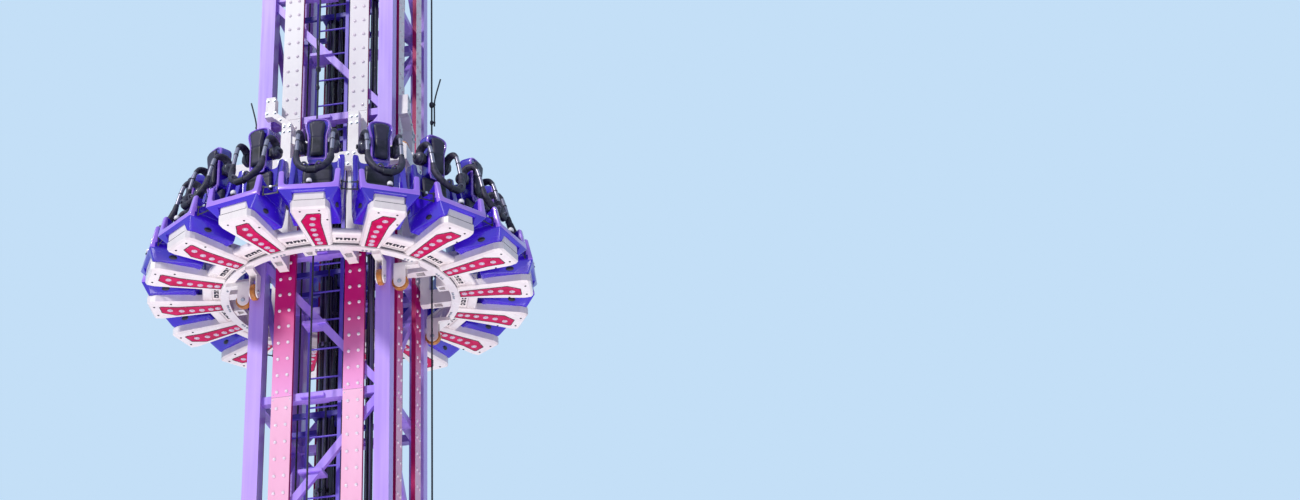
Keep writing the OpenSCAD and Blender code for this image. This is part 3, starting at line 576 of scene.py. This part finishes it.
# Cross boxes. Between two pods a rounded white beam and a floor with three cable slots join them to the ring. Bolts
# hold the pods to the ring's flange, and drain plugs sit under their outer ends. A thin black strip along each pod's
# joint is painted shade, for the shaded groove of the joint.
def rounded_box(out, low, high, bevel, index=0, at=Matrix()):
    """A box between two corners with bevelled edges, added to a mesh."""
    made = bmesh.ops.create_cube(out, size=1)["verts"]
    bmesh.ops.transform(out, verts=made, matrix=at @ Matrix.Translation(
        [(a + b) / 2 for a, b in zip(low, high)]) @ Matrix.Diagonal([b - a for a, b in zip(low, high)] + [1]))
    before = set(out.faces)
    edges = {edge for corner in made for edge in corner.link_edges}
    own = {face for edge in edges for face in edge.link_faces}
    result = bmesh.ops.bevel(out, geom=list(edges), offset=bevel, segments=3, profile=0.5, affect="EDGES")
    for face in set(out.faces) - before | set(result["faces"]) | {face for face in own if face.is_valid}:
        face.material_index = index


between = [seat @ Matrix.Rotation(half_turn, 4, "Z") for seat in seats]
pod_in, pod_root_half, pod_shoulder, pod_half, step_z = 1.79, 0.16, 2.85, 0.29, 0.14


def gap_side(x):
    """Half the width of the gap between two pods at a distance from the ride's axis along the gap's middle."""
    near, far = (Matrix.Rotation(half_turn, 2) @ Vector((u, -v))
                 for u, v in ((pod_in, pod_root_half), (pod_shoulder, pod_half)))
    return near.y + (x - near.x) * (far.y - near.y) / (far.x - near.x) - 0.0008


def filleted(points, radii, steps=4):
    """A closed outline with every corner rounded by an arc of the same number of points."""
    smooth = []
    for k, here in enumerate(points):
        here = Vector(here)
        before, after = Vector(points[k - 1]) - here, Vector(points[(k + 1) % len(points)]) - here
        reach = min(radii[k], 0.49 * before.length, 0.49 * after.length)
        start, end = here + before.normalized() * reach, here + after.normalized() * reach
        for step in range(steps):
            t = step / (steps - 1)
            smooth.append(start * (1 - t) ** 2 + here * 2 * t * (1 - t) + end * t ** 2)
    return smooth


box = bmesh.new()
bar_x, bar_z, bar_half_x, bar_half_z = 2.055, 0.092, 0.078, 0.052
bar_line = filleted([(bar_x + a * bar_half_x, bar_z + b * bar_half_z) for a, b in square],
                    [0.03, 0.042, 0.042, 0.01], 5)
loft([[(x + (bar_x - x) * pinch, side * (gap_side(x) - inset), z + (bar_z - z) * pinch) for x, z in bar_line]
      for side, inset, pinch in ((-1, 0, 0.07), (-1, 0.006, 0), (1, 0.006, 0), (1, 0, 0.07))],
     closed=True, into=box)
floor_in, floor_out, floor_z = 1.835, bar_x - bar_half_x, 0.066
floor_line = [(x, side * gap_side(x)) for x, side in (
    (floor_in, -1), (floor_out, -1), (floor_out, 1), (floor_in, 1))]
loft([[(*p, z) for p in floor_line] for z in (floor_z, step_z - 0.001)], closed=True, into=box)
sill_half = gap_side(floor_in) - 0.002
rounded_box(box, (floor_in, -sill_half, 0.04), (floor_in + 0.022, sill_half, floor_z + 0.004), 0.004)
slot_in, slot_out, slot_lip, tab_in, tab_out, tab_half = 1.882, 1.955, 0.004, 1.9, 1.926, 0.012
for low, high in ((-0.155, -0.055), (-0.035, 0.06), (0.08, 0.155)):
    middle = (low + high) / 2
    rounded_box(box, (slot_in, low, floor_z - 0.002), (slot_out, high, floor_z + 0.002), 0.0008, 1)
    rounded_box(box, (slot_in - slot_lip, low - 0.007, floor_z - 0.007),
                (slot_out + slot_lip, low - 0.001, floor_z + 0.001), 0.002)
    rounded_box(box, (tab_in, middle - tab_half, floor_z - tab_half), (tab_out, middle + tab_half, floor_z), 0.003)
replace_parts(repeated("cross_boxes", box, between, [pod_white, black_rubber]), "tray_boxes")
pod_bolt = turned([(0.02, 0), (0.02, -0.003)], 18)
turned([(0.0135, -0.003), (0.0148, -0.005), (0.0148, -0.0125), (0.0125, -0.0145)], 6, into=pod_bolt)
ring_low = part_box("ring_beam")[0].z
ring_bolt_r, ring_bolt_turns = 1.76, (-0.052, -0.02, 0.02, 0.052)
repeated("ring_bolts", pod_bolt,
         [Matrix.Rotation(turn + offset, 4, "Z") @ shift(ring_bolt_r, 0, ring_low)
          for turn in seat_turns for offset in ring_bolt_turns], [zinc])
plug_places = ((2.9, -0.14), (2.9, 0.14), (2.62, 0.215))
plug = turned([(0.017, 0), (0.0165, -0.004), (0.012, -0.0075), (0.0045, -0.008)], 16)
repeated("drain_plugs", plug, [seat @ shift(u, v, 0) for seat in seats for u, v in plug_places], [black_rubber])
# A thin black strip along the foot of the pod's block is painted shade for the joint's groove.
shade_strip_in, pod_out, block_side, chamfer = 2.78, 2.99, 0.244, 0.03
shade_strip_half = [(pod_out, block_side - chamfer), (pod_out - chamfer, block_side), (shade_strip_in, block_side)]
shade_strip_plan = [(u, -v) for u, v in shade_strip_half[::-1]] + shade_strip_half
shade_strip = loft([[(*p, z) for p in moved_in(shade_strip_plan, inset)] for inset, z in (
    (0.002, step_z + 0.0004), (-0.0018, step_z + 0.0008), (-0.0018, step_z + 0.0062), (0.002, step_z + 0.0068))],
    closed=True)
repeated("pod_joint_shade_strips", shade_strip, seats, [black_rubber])


# Seat shells. A tub of violet gel-coated glass fibre stands on each pod. Its front rises at both sides to a horn and
# carries a thick rim in lavender. That lavender is painted light: the violet gel coat as it looks where light falls on
# the rim. Behind, the walls sweep up to the shoulders and the back panel.
def eased(rows, steps):
    """Rows of numbers with smooth rows put between them, on a curve through the given ones."""
    made = []
    for k in range(len(rows) - 1):
        a, b, c, d = (np.array(rows[min(max(k + j, 0), len(rows) - 1)], float) for j in (-1, 0, 1, 2))
        for step in range(steps):
            t = step / steps
            made.append(b + 0.5 * t * (c - a + t * (2 * a - 5 * b + 4 * c - d + t * (3 * (b - c) + d - a))))
    return made + [np.array(rows[-1], float)]


tub_half, tub_wall, flare_z, peak_z = 0.454, 0.08, 0.31, 0.67
back_u, block_half, tray_step, tray_top, lip_z = 2.33, 0.2443, 0.1403, 0.2623, 0.4
shoulder_z, back_top = 1.28, 1.14
belt_rise, belt_half, belt_deep = 0.066, 0.007, 0.009
belt_end, belt_fade = 2.965, 0.04


def tub_ring(u, side, top, floor, low_half, flare_half, top_half, low_back=0, top_back=0, middle=0, thin=0):
    """A tub's cross section at a radius. Its low and top edges lie behind the flare by their own amounts, and its
    underside is at the height side, or middle where it straddles the pod's block if that is higher."""
    flare = max(flare_z, side + 0.09)
    ow, ot = flare_half * tub_half - thin, top_half * tub_half - thin
    deep = belt_deep * min(1, max(0, (belt_end - u) / belt_fade))
    belt = [(ow + (ot - ow) * rise / (top - flare) - cut, flare + rise) for rise, cut in (
        (belt_rise - belt_half, 0), (belt_rise, deep), (belt_rise + belt_half, 0))]
    half = [(low_half * tub_half - thin, side + thin), (ow, flare)] + belt + [
        (ot, top - thin), (ot - tub_wall + 2 * thin, top - thin), (ow - tub_wall - 0.006 + 2 * thin, floor - thin)]
    radii = [0.028, 0.05, 0.002, 0.002, 0.002, 0.034, 0.03, 0.05]
    step = [(block_half, side + thin), (block_half, max(middle, side) + thin + 0.0004)]
    points = [(-v, z) for v, z in half] + half[::-1] + step + [(-v, z) for v, z in step[::-1]]
    ring = filleted(points, radii + radii[::-1] + [0.004] * 4)
    return [(u - low_back * max(0, flare_z - z) / (flare_z - tray_step)
             - top_back * max(0, z - flare_z) / (peak_z - flare_z), v, z) for v, z in ring]


behind = eased([
    (back_u - 0.2, 0.56, 1.21, 1.09, 0.72, 0.8, 0.84),
    (back_u - 0.15, 0.33, shoulder_z, back_top, 0.76, 0.82, 0.86),
    (back_u - 0.105, tray_step, shoulder_z, back_top, 0.78, 0.83, 0.87),
    (back_u - 0.006, tray_step, shoulder_z - 0.01, back_top, 0.78, 0.84, 0.88)], 3)
inside = eased([
    (back_u, tray_step, shoulder_z - 0.07, flare_z, 0.78, 0.84, 0.89),
    (back_u + 0.07, tray_step, 0.9, flare_z, 0.77, 0.86, 0.9),
    (back_u + 0.19, tray_step, 0.62, flare_z, 0.75, 0.89, 0.92),
    (back_u + 0.37, tray_step, 0.545, flare_z, 0.7, 0.93, 0.95),
    (2.758, tray_step, 0.562, flare_z, 0.68, 0.95, 0.965)], 4)
horn = eased([
    (2.769, tray_step, 0.565, flare_z, 0.68, 0.95, 0.967, 0, 0, tray_top),
    (2.86, tray_step, peak_z - 0.06, flare_z, 0.665, 0.965, 0.98, 0.02, 0, tray_top),
    (2.95, tray_step, peak_z, flare_z, 0.66, 0.98, 1, 0.06, 0.02, tray_top)], 3)
face_u, face_low, face_top = 3.032, tray_step + 0.003, peak_z - 0.006
front = [
    (2.965, tray_step, peak_z, lip_z - 0.02, 0.66, 0.985, 1, 0.062, 0.024, tray_top),
    (2.978, tray_step, peak_z, lip_z, 0.66, 0.985, 1, 0.066, 0.034, tray_top),
    (face_u, face_low, face_top, lip_z, 0.655, 0.985, 1, 0.088, 0.076, tray_top + 0.002)]
front += [
    (face_u + out, face_low + 0.003, face_top, lip_z, 0.653, 0.985, 1, 0.089, 0.078, tray_top + 0.004, thin)
    for out, thin in ((0.009, 0.003), (0.0155, 0.009), (0.018, 0.018))]
rings = [tub_ring(*row) for row in behind + inside + horn + front]
tub = loft(rings)
corners = list(tub.verts)
wide = len(rings[0])
crease_left, crease_right = 5, 58
face_ring = corners[-wide:]
caps = [tub.faces.new(cap) for cap in (corners[:wide][::-1], face_ring[crease_left:crease_right + 1],
                                       face_ring[crease_right:] + face_ring[:crease_left + 1])]
tub.normal_update()
bmesh.ops.triangulate(tub, faces=caps, ngon_method="EAR_CLIP")
# The rim's faces take the lavender, which is painted light on the violet gel coat.
rim_u, rim_lean = 2.985, 0.08
for face in tub.faces:
    middle = face.calc_center_median()
    lean = rim_lean * max(0, middle.z - flare_z) / (peak_z - flare_z)
    face.material_index = int(middle.x > rim_u - lean and middle.z > flare_z - 0.004)


def shell_gel(name, bright, deep):
    """Polished gel coat in two tones, with scuffs that are less shiny."""
    def layers(wire):
        cloud = grain(wire, 1.3, 4)
        scuff = grain(wire, (7, 7, 22), 5).ramp(0.62, 0.78)
        return {"Base Color": cloud.ramp(0.35, 0.68).mix(bright, deep), "Roughness": scuff * 0.3 + 0.2,
                "Normal": raised(wire, grain(wire, 35, 2), 0.0005)}
    return finish(name, {"Coat Weight": 0.7, "Coat Roughness": 0.06}, layers)


shell_violet = shell_gel("shell_gel_violet", (68, 32, 210), (46, 16, 176))
# The lavender is the violet gel coat painted as it looks in light.
rim_painted_light = shell_gel("rim_gel_painted_light", (184, 138, 254), (160, 110, 248))
violet_and_painted_light = [shell_violet, rim_painted_light]
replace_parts(repeated("tub_shells", tub, seats, violet_and_painted_light), "seat_tubs")


# Straps, latches and knobs. Two black webbing straps close the gap between neighbouring tubs; an oval black latch holds
# each tub's skirt at its sides, and a white ball light stands on the middle of every tub's lip.
strap_u, strap_z, strap_low_z, strap_half_w, strap_t, strap_sag = 2.93, 0.455, 0.335, 0.011, 0.0022, 0.008
gap_u, gap_half = Matrix.Rotation(half_turn, 2) @ Vector((strap_u, 0.004 - tub_half))
strap = bmesh.new()
for level_z in (strap_z, strap_low_z):
    hung = [(gap_half * t, level_z - strap_sag * (1 - t * t)) for t in (k / 9 - 1 for k in range(19))]
    loft([[(gap_u + side * strap_t, y, z + up * strap_half_w) for side, up in square] for y, z in hung],
         closed=True, into=strap)
rounded_box(strap, (gap_u - 0.006, -0.02, strap_z - 0.024), (gap_u + 0.009, 0.02, strap_z + 0.008), 0.003, 1)
for side in (-1, 1):
    y = side * (gap_half - 0.018)
    rounded_box(strap, (gap_u - 0.003, y - 0.009, strap_low_z - 0.01),
                (gap_u + 0.003, y + 0.009, strap_z + 0.01), 0.001)
    for level_z in (strap_z, strap_low_z):
        rounded_box(strap, (gap_u - 0.01, y - 0.014, level_z - 0.022),
                    (gap_u + 0.012, y + 0.014, level_z + 0.022), 0.005)
repeated("gap_straps", strap, between, [black_rubber, zinc])
latch_u, latch_z, latch_v, latch_tilt = 2.68, 0.205, 0.3585, radians(121.5)
latch = bmesh.new()
for side in (-1, 1):
    seated = shift(latch_u, side * latch_v, latch_z) @ Matrix.Rotation(-side * latch_tilt, 4, "X")
    turned([(0.033, -0.006), (0.033, 0.004), (0.029, 0.01), (0.021, 0.013), (0.008, 0.014)], 24,
           seated @ Matrix.Diagonal((1.9, 1, 1, 1)), 0, latch)
    rounded_box(latch, (-0.05, -0.009, 0.012), (0.042, 0.009, 0.026), 0.005, 0, seated)
repeated("side_latches", latch, seats, [black_rubber])
knob_r, ball_z = 0.044, 0.052
knob_foot = shift(3, 0, lip_z)
knob = turned([(0.05, 0.0004), (0.049, 0.006), (0.036, 0.01), (0.022, 0.016)], 20, knob_foot, 1)
turned([(knob_r * sin(a), ball_z - knob_r * cos(a)) for a in map(radians, range(28, 176, 12))], 24,
       knob_foot, 0, knob)
turned([(0.0135, 0.095), (0.0135, 0.0975), (0.009, 0.0995)], 16, knob_foot, 1, knob)
for side in (-1, 1):
    rounded_box(knob, (-0.014, side * 0.052 - 0.017, 0.0004), (0.014, side * 0.052 + 0.017, 0.009), 0.003, 1, knob_foot)
knob_white = gloss_white("knob_opal", (252, 250, 250), (240, 238, 242))
repeated("ball_knobs", knob, seats, [knob_white, black_rubber])


# Cushions. Foam blocks under black vinyl: a seat cushion, a back pad and a headrest pad in every tub. Their covers
# are drawn tight, so they swell between the welts; they are blown up here as cloth, and seated flat behind.
seated_z, blowing_frames = 0.008, 20


def stuffed(outline, depth, voxel, cap):
    """Points and faces of a pad: an outline (x, y) raised by a depth and swelled as cloth, by the cap at most."""
    block = loft([[(*p, z) for p in moved_in(outline, inset)] for inset, z in (
        (0.012, 0), (0.003, 0.004), (0, 0.014), (0, depth - 0.02), (0.004, depth - 0.007), (0.014, depth))], True)
    mesh = bpy.data.meshes.new("foam")
    block.to_mesh(mesh)
    block.free()
    pad = bpy.data.objects.new("foam", mesh)
    scene.collection.objects.link(pad)
    pad.modifiers.new("even", "REMESH").voxel_size = voxel
    even = bpy.data.meshes.new_from_object(pad.evaluated_get(bpy.context.evaluated_depsgraph_get()))
    pad.modifiers.clear()
    pad.data = even
    start = np.array([v.co[:] for v in even.vertices])
    held = pad.vertex_groups.new(name="held")
    held.add([k for k, co in enumerate(start) if co[2] < seated_z], 1, "REPLACE")
    cover = pad.modifiers.new("cover", "CLOTH").settings
    cover.vertex_group_mass = "held"
    cover.quality = 4
    cover.use_pressure = True
    cover.uniform_pressure_force = 4
    cover.effector_weights.gravity = 0
    for moment in range(blowing_frames):
        scene.frame_set(moment + 1)
    blown = pad.evaluated_get(bpy.context.evaluated_depsgraph_get()).to_mesh()
    moved = np.array([v.co[:] for v in blown.vertices]) - start
    length = np.linalg.norm(moved, axis=1, keepdims=True)
    start = start + moved * np.minimum(1, cap / np.maximum(length, 1e-9))
    pad.modifiers.clear()
    scene.frame_set(1)
    start[:, 2] = np.maximum(start[:, 2], 0)
    faces = [tuple(p.vertices) for p in even.polygons]
    bpy.data.objects.remove(pad)
    return start, faces


def pads(name, outline, depth, voxel, cap, channels, stand):
    """A stuffed pad in every seat, drawn in along its sewn channels (axis, place, depth, half width)."""
    points, faces = stuffed(outline, depth, voxel, cap)
    for axis, place, sunk, half in channels:
        points[:, 2] -= sunk * np.exp(-((points[:, axis] - place) / half) ** 2) * (points[:, 2] > 0.02)
    pattern = bmesh.new()
    corners = [pattern.verts.new(stand @ Vector(p)) for p in points]
    for face in faces:
        pattern.faces.new([corners[k] for k in face])
    return repeated(name, pattern, seats, [vinyl_black])


def vinyl(wire):
    z = axes(wire)[2]
    worn = grain(wire, 3, 4).ramp(0.4, 0.7)
    # The top of each headrest pad is painted lighter: a painted highlight where light falls on it.
    painted_top_light = (z > gondola_z + 1.5) * 0.45
    hide = wire.node("TexVoronoi", {}, {"Vector": own_space(wire), "Scale": 420})
    return {"Base Color": worn.larger(painted_top_light).mix((18, 16, 30), (80, 74, 102)),
            "Roughness": worn * 0.15 + 0.38, "Normal": raised(wire, hide, 0.0003)}


vinyl_black = finish("vinyl_black", {"Specular IOR Level": 0.3}, vinyl)
cushion_low, cushion_deep, cushion_middle, cushion_reach, cushion_half = 0.3105, 0.1075, 2.635, 0.285, 0.255
outline = filleted([(cushion_middle + a * cushion_reach, b * cushion_half) for a, b in square], [0.05] * 4, 6)
channels = [(0, u, 0.007, 0.012) for u in (2.53, 2.74)]
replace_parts(pads("seat_cushion_pads", outline, cushion_deep, 0.014, 0.014, channels,
                           shift(0, 0, cushion_low)), "seat_cushions")

back_low, back_high, back_half, back_rear = 0.45, 1.105, 0.236, back_u - 0.0005
standing = Matrix(((0, 0, 1), (1, 0, 0), (0, 1, 0))).to_4x4()
outline = filleted([(-0.2, back_low), (0.2, back_low), (back_half, 0.75), (back_half - 0.01, back_high),
                    (0.01 - back_half, back_high), (-back_half, 0.75)], [0.05, 0.05, 0.2, 0.05, 0.05, 0.2], 6)
channels = [(1, z, 0.006, 0.012) for z in (0.62, 0.8, 0.98)]
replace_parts(pads("seat_back_pads", outline, 0.052, 0.014, 0.012, channels,
                           shift(back_rear, 0, 0) @ standing), "back_pads")


def headrest_outline(neck, wide, low, high):
    """A headrest seen from the front: a neck, a wider head and a rounded crown, in (x, y) points."""
    crown, corner = 0.6 * wide, 0.03
    z = high - crown
    waist = low + 0.63 * (z - low)
    foot = [(neck - corner + corner * sin(a), low + corner - corner * cos(a))
            for a in (pi / 6 * k for k in range(4))]
    side = foot + [(neck + (wide - neck) * t * t * (3 - 2 * t), waist + t * (z - waist))
                   for t in (k / 6 for k in range(7))]
    arc = [(copysign(wide * abs(cos(a)) ** 0.72, cos(a)), z + crown * sin(a) ** 0.72)
           for a in (pi * k / 24 for k in range(1, 24))]
    return [Vector(p) for p in side + arc + [(-x, y) for x, y in side[::-1]]]


pad_low, pad_high, rest_front = 1.19, 1.805, back_u + 0.1003
outline = headrest_outline(0.104, 0.125, pad_low, pad_high)
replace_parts(pads("headrest_face_pads", outline, 0.044, 0.012, 0.01, [(1, 1.5, 0.006, 0.01)],
                           shift(rest_front, 0, 0) @ standing), "headrest_pads")


# Headrest hoods. A violet shell rises from the back panel behind each headrest pad, with a rolled edge in lavender,
# which is painted light on the violet; under the pad a small apron in the same two colours covers the foot of the
# shell.
hood_low, hood_top, edge_out = back_top + 0.0004, 1.86, 0.0698
hood_line = headrest_outline(0.1497, 0.19, hood_low, hood_top)
hood = loft([[(back_u + out, *p) for p in moved_in(hood_line, inset)] for out, inset in (
    (-0.13, 0.05), (-0.118, 0.022), (-0.095, 0.006), (-0.06, 0), (edge_out, 0), (0.0878, 0.002),
    (0.0978, 0.009), (0.0998, 0.016), (0.0968, 0.024), (0.0838, 0.029), (0.0778, 0.034))], closed=True)
# The rolled edge's faces take the lavender, which is painted light.
for face in hood.faces:
    face.material_index = int(face.calc_center_median().x > back_u + edge_out and len(face.verts) == 4)
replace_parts(repeated("headrest_hoods", hood, seats, violet_and_painted_light), "headrest_shells")

apron_line = filleted([(-0.118, 1.075), (0.118, 1.075), (0.138, 1.186), (-0.138, 1.186)], [0.02] * 4, 5)
apron = loft([[(back_u + out, *p) for p in moved_in(apron_line, inset)] for out, inset in (
    (0.078, 0), (0.092, 0), (0.097, 0.003), (0.0985, 0.008), (0.097, 0.0135), (0.094, 0.015))], closed=True)
# The apron's outline takes the lavender, which is painted light.
for face in apron.faces:
    face.material_index = int(len(face.verts) == 4)
repeated("headrest_aprons", apron, seats, violet_and_painted_light)


# Shoulder restraints. A bent steel tube swings on two pins beside the headrest. Domed covers hide its hubs, flared
# rubber boots its knees, and a thick black lap bar with two grips joins the arms over the rider's thighs.
dress("pivot_brackets", bracket_coat)
pivot_u, pivot_z, arm_v, arm_reach, arm_drop, arm_r = 2.3, 1.43, 0.26, 0.545, 0.7, 0.033
hub_half, hub_r = 0.067, 0.105


def swept(path, radii, sides, index=0, into=None):
    """A round bar along a path of points with a radius at each, its rings carried along without twist."""
    path = [Vector(p) for p in path]
    rings, across = [], None
    for k, here in enumerate(path):
        ahead = (path[min(k + 1, len(path) - 1)] - path[max(k - 1, 0)]).normalized()
        across = (across or ahead.orthogonal()) - ahead * ahead.dot(across or ahead.orthogonal())
        across.normalize()
        other = ahead.cross(across)
        rings.append([here + radii[k] * (c * across + s * other) for c, s in circle(sides)])
    return loft(rings, True, index, into)


def curve(points, steps):
    """Points on a smooth curve through the given ones."""
    return [Vector(p) for p in eased([tuple(p) for p in points], steps)]


arm = [Vector((pivot_u + a * arm_reach, b * arm_v, pivot_z + c * arm_drop)) for a, b, c in (
    (0.03, 1, 0.07), (0.07, 1, 0.16), (0.2, 1, 0.22), (0.36, 1, 0.21), (0.48, 1, 0.12), (0.57, 1, -0.09),
    (0.67, 1, -0.41), (0.72, 0.99, -0.57), (0.79, 0.91, -0.7), (0.91, 0.66, -0.87), (1, 0.2, -1))]
restraint = bmesh.new()
for flip in (Matrix(), Matrix.Diagonal((1, -1, 1, 1))):
    route = [flip @ p for p in arm]
    shank = curve(route[:8], 5)
    swept(shank, [arm_r] * len(shank), 20, 0, restraint)
    knee = curve(route[6:11], 6)
    bulge = [0.0375, 0.0425, 0.041, 0.0455, 0.044, 0.048]
    swept(knee, [bulge[k] if k < 6 else 0.05 + 0.004 * sin(min(k, 18) / 18 * pi) for k in range(len(knee))],
          22, 1, restraint)
    shoulder = curve(route[:5], 5)
    swept(shoulder, np.interp(np.linspace(0, 1, len(shoulder)), (0, 0.15, 0.5, 0.8, 1),
                              (0.055, 0.061, 0.058, 0.049, 0.037)).tolist(), 24, 1, restraint)
    cuff = curve([route[6] - (route[6] - route[5]).normalized() * 0.022, route[6], route[7]], 2)
    swept(cuff[:3], [0.0365, 0.039, 0.0365], 20, 2, restraint)
    for along_arm, half in ((4, 0.014), (5, 0.01)):
        ahead = (route[along_arm + 1] - route[along_arm]).normalized() * half
        swept([route[along_arm] + ahead * k for k in (-1, -0.8, 0.8, 1)],
              [arm_r + 0.0006, arm_r + 0.004, arm_r + 0.004, arm_r + 0.0006], 20, 2, restraint)
    facing = flip @ shift(pivot_u, arm_v, pivot_z) @ Matrix.Rotation(-pi / 2, 4, "X")
    turned([(0.0235, -hub_half), (hub_r - 0.012, -hub_half), (hub_r - 0.004, -hub_half + 0.008),
            (hub_r - 0.004, -hub_half + 0.036), (hub_r - 0.01, -hub_half + 0.041)], 40, facing, 2, restraint)
    turned([(hub_r - 0.01, -hub_half + 0.041), (hub_r + 0.001, -hub_half + 0.044), (hub_r + 0.003, -0.01)]
           + [(hub_r * (1 - ((k / 9) ** 2.6)) ** 0.42 + 0.003, -0.008 + 0.075 * k / 9) for k in range(1, 9)]
           + [(0.032, 0.0672), (0.03, 0.0655), (0.012, 0.0655)], 40, facing, 3, restraint)
lap_u, lap_z = pivot_u + arm_reach, pivot_z - arm_drop
lap = [(lap_u, y, lap_z) for y in (-0.075, -0.068, -0.05, -0.03, -0.01, 0.01, 0.03, 0.05, 0.068, 0.075)]
swept(lap, [0.051, 0.056, 0.0515, 0.056, 0.0515, 0.056, 0.0515, 0.056, 0.056, 0.051], 24, 2, restraint)
for side in (-1, 1):
    grip = curve([(lap_u - 0.012, side * 0.062, lap_z + 0.04), (lap_u + 0.012, side * 0.07, lap_z + 0.085),
                  (lap_u + 0.032, side * 0.105, lap_z + 0.112), (lap_u + 0.012, side * 0.145, lap_z + 0.1),
                  (lap_u - 0.022, side * 0.155, lap_z + 0.055)], 5)
    swept(grip, [0.0155 + 0.0016 * (k % 2) for k in range(len(grip))], 14, 3, restraint)
arm_finishes = [
    mottled("arm_satin_steel", {"Metallic": 0.55}, (60, 60, 8), 3, (0, 1), ((172, 168, 186), (114, 110, 128)),
            (0.22, 0.2)),
    mottled("boot_rubber", {"Specular IOR Level": 0.35}, 18, 4, (0.35, 0.65), ((26, 22, 38), (70, 64, 86)),
            (0.45, 0.2), (220, 2, 0.0005)),
    black_rubber,
    mottled("cover_grey_plastic", {"Coat Weight": 0.3}, 14, 5, (0.45, 0.75), ((54, 50, 70), (108, 102, 124)),
            (0.3, 0.25), (160, 2, 0.0004))]
for k, seat in enumerate(seats, 1):
    own = "restraint_%02d" % k
    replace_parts(repeated("%s_arms" % own, restraint.copy(), [seat], arm_finishes, own), own)
restraint.free()


# Corner plates. A cranked plate on each column's left edge stiffens the frame; hexagon bolts go through its foot, its
# brace and its head.
plate_low, plate_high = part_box("corner_plates")
plate_spots = [(x - rail_middle, plate_low.z + z) for x, z in (
    (-0.045, 0.055), (0.045, 0.055), (-0.2, 0.33), (-0.335, 0.33), (-0.215, 0.56), (-0.32, 0.56), (-0.11, 0.19))]
bolted("plate_bolts", on_faces(plate_spots, plate_high.y))


# Rope ends. Above the frame each hoist rope carries two swaged steel sleeves, and its short tail is held beside them
# in black clips and stands off at its end. The sleeves clear the rope, which stays still in this model.
rope_out, sleeve_bore, sleeve_r = 1.46, 0.0195, 0.031
low_sleeve_z, high_sleeve_z = 3.04, 3.38
rope_end = bmesh.new()
for z, swell in ((low_sleeve_z, 0.85), (high_sleeve_z, 1.25)):
    outer = sleeve_r * swell
    loft([[(radius * c, radius * s, z + rise * swell) for c, s in circle(24)]
          for radius, rise in ((sleeve_bore, 0.036), (sleeve_bore, -0.036), (0.023, -0.038), (outer, -0.022),
                               (outer + 0.003, 0), (outer, 0.022), (0.023, 0.038))],
         index=2, into=rope_end, loop=True)
    rounded_box(rope_end, (-0.016, -0.061, z - 0.014), (0.016, -0.026, z + 0.014), 0.005, 2)
tail_r = 0.0125
tail = curve([(0, -0.0448, 2.97), (0, -0.0448, 3.2), (0, -0.0455, 3.4), (0.004, -0.07, 3.56), (0.012, -0.145, 3.86)], 4)
swept(tail, [tail_r] * len(tail), 12, 0, rope_end)
repeated("rope_ends", rope_end, round_tower(shift(0, -rope_out, gondola_z)),
         [rope, zinc, black_rubber])
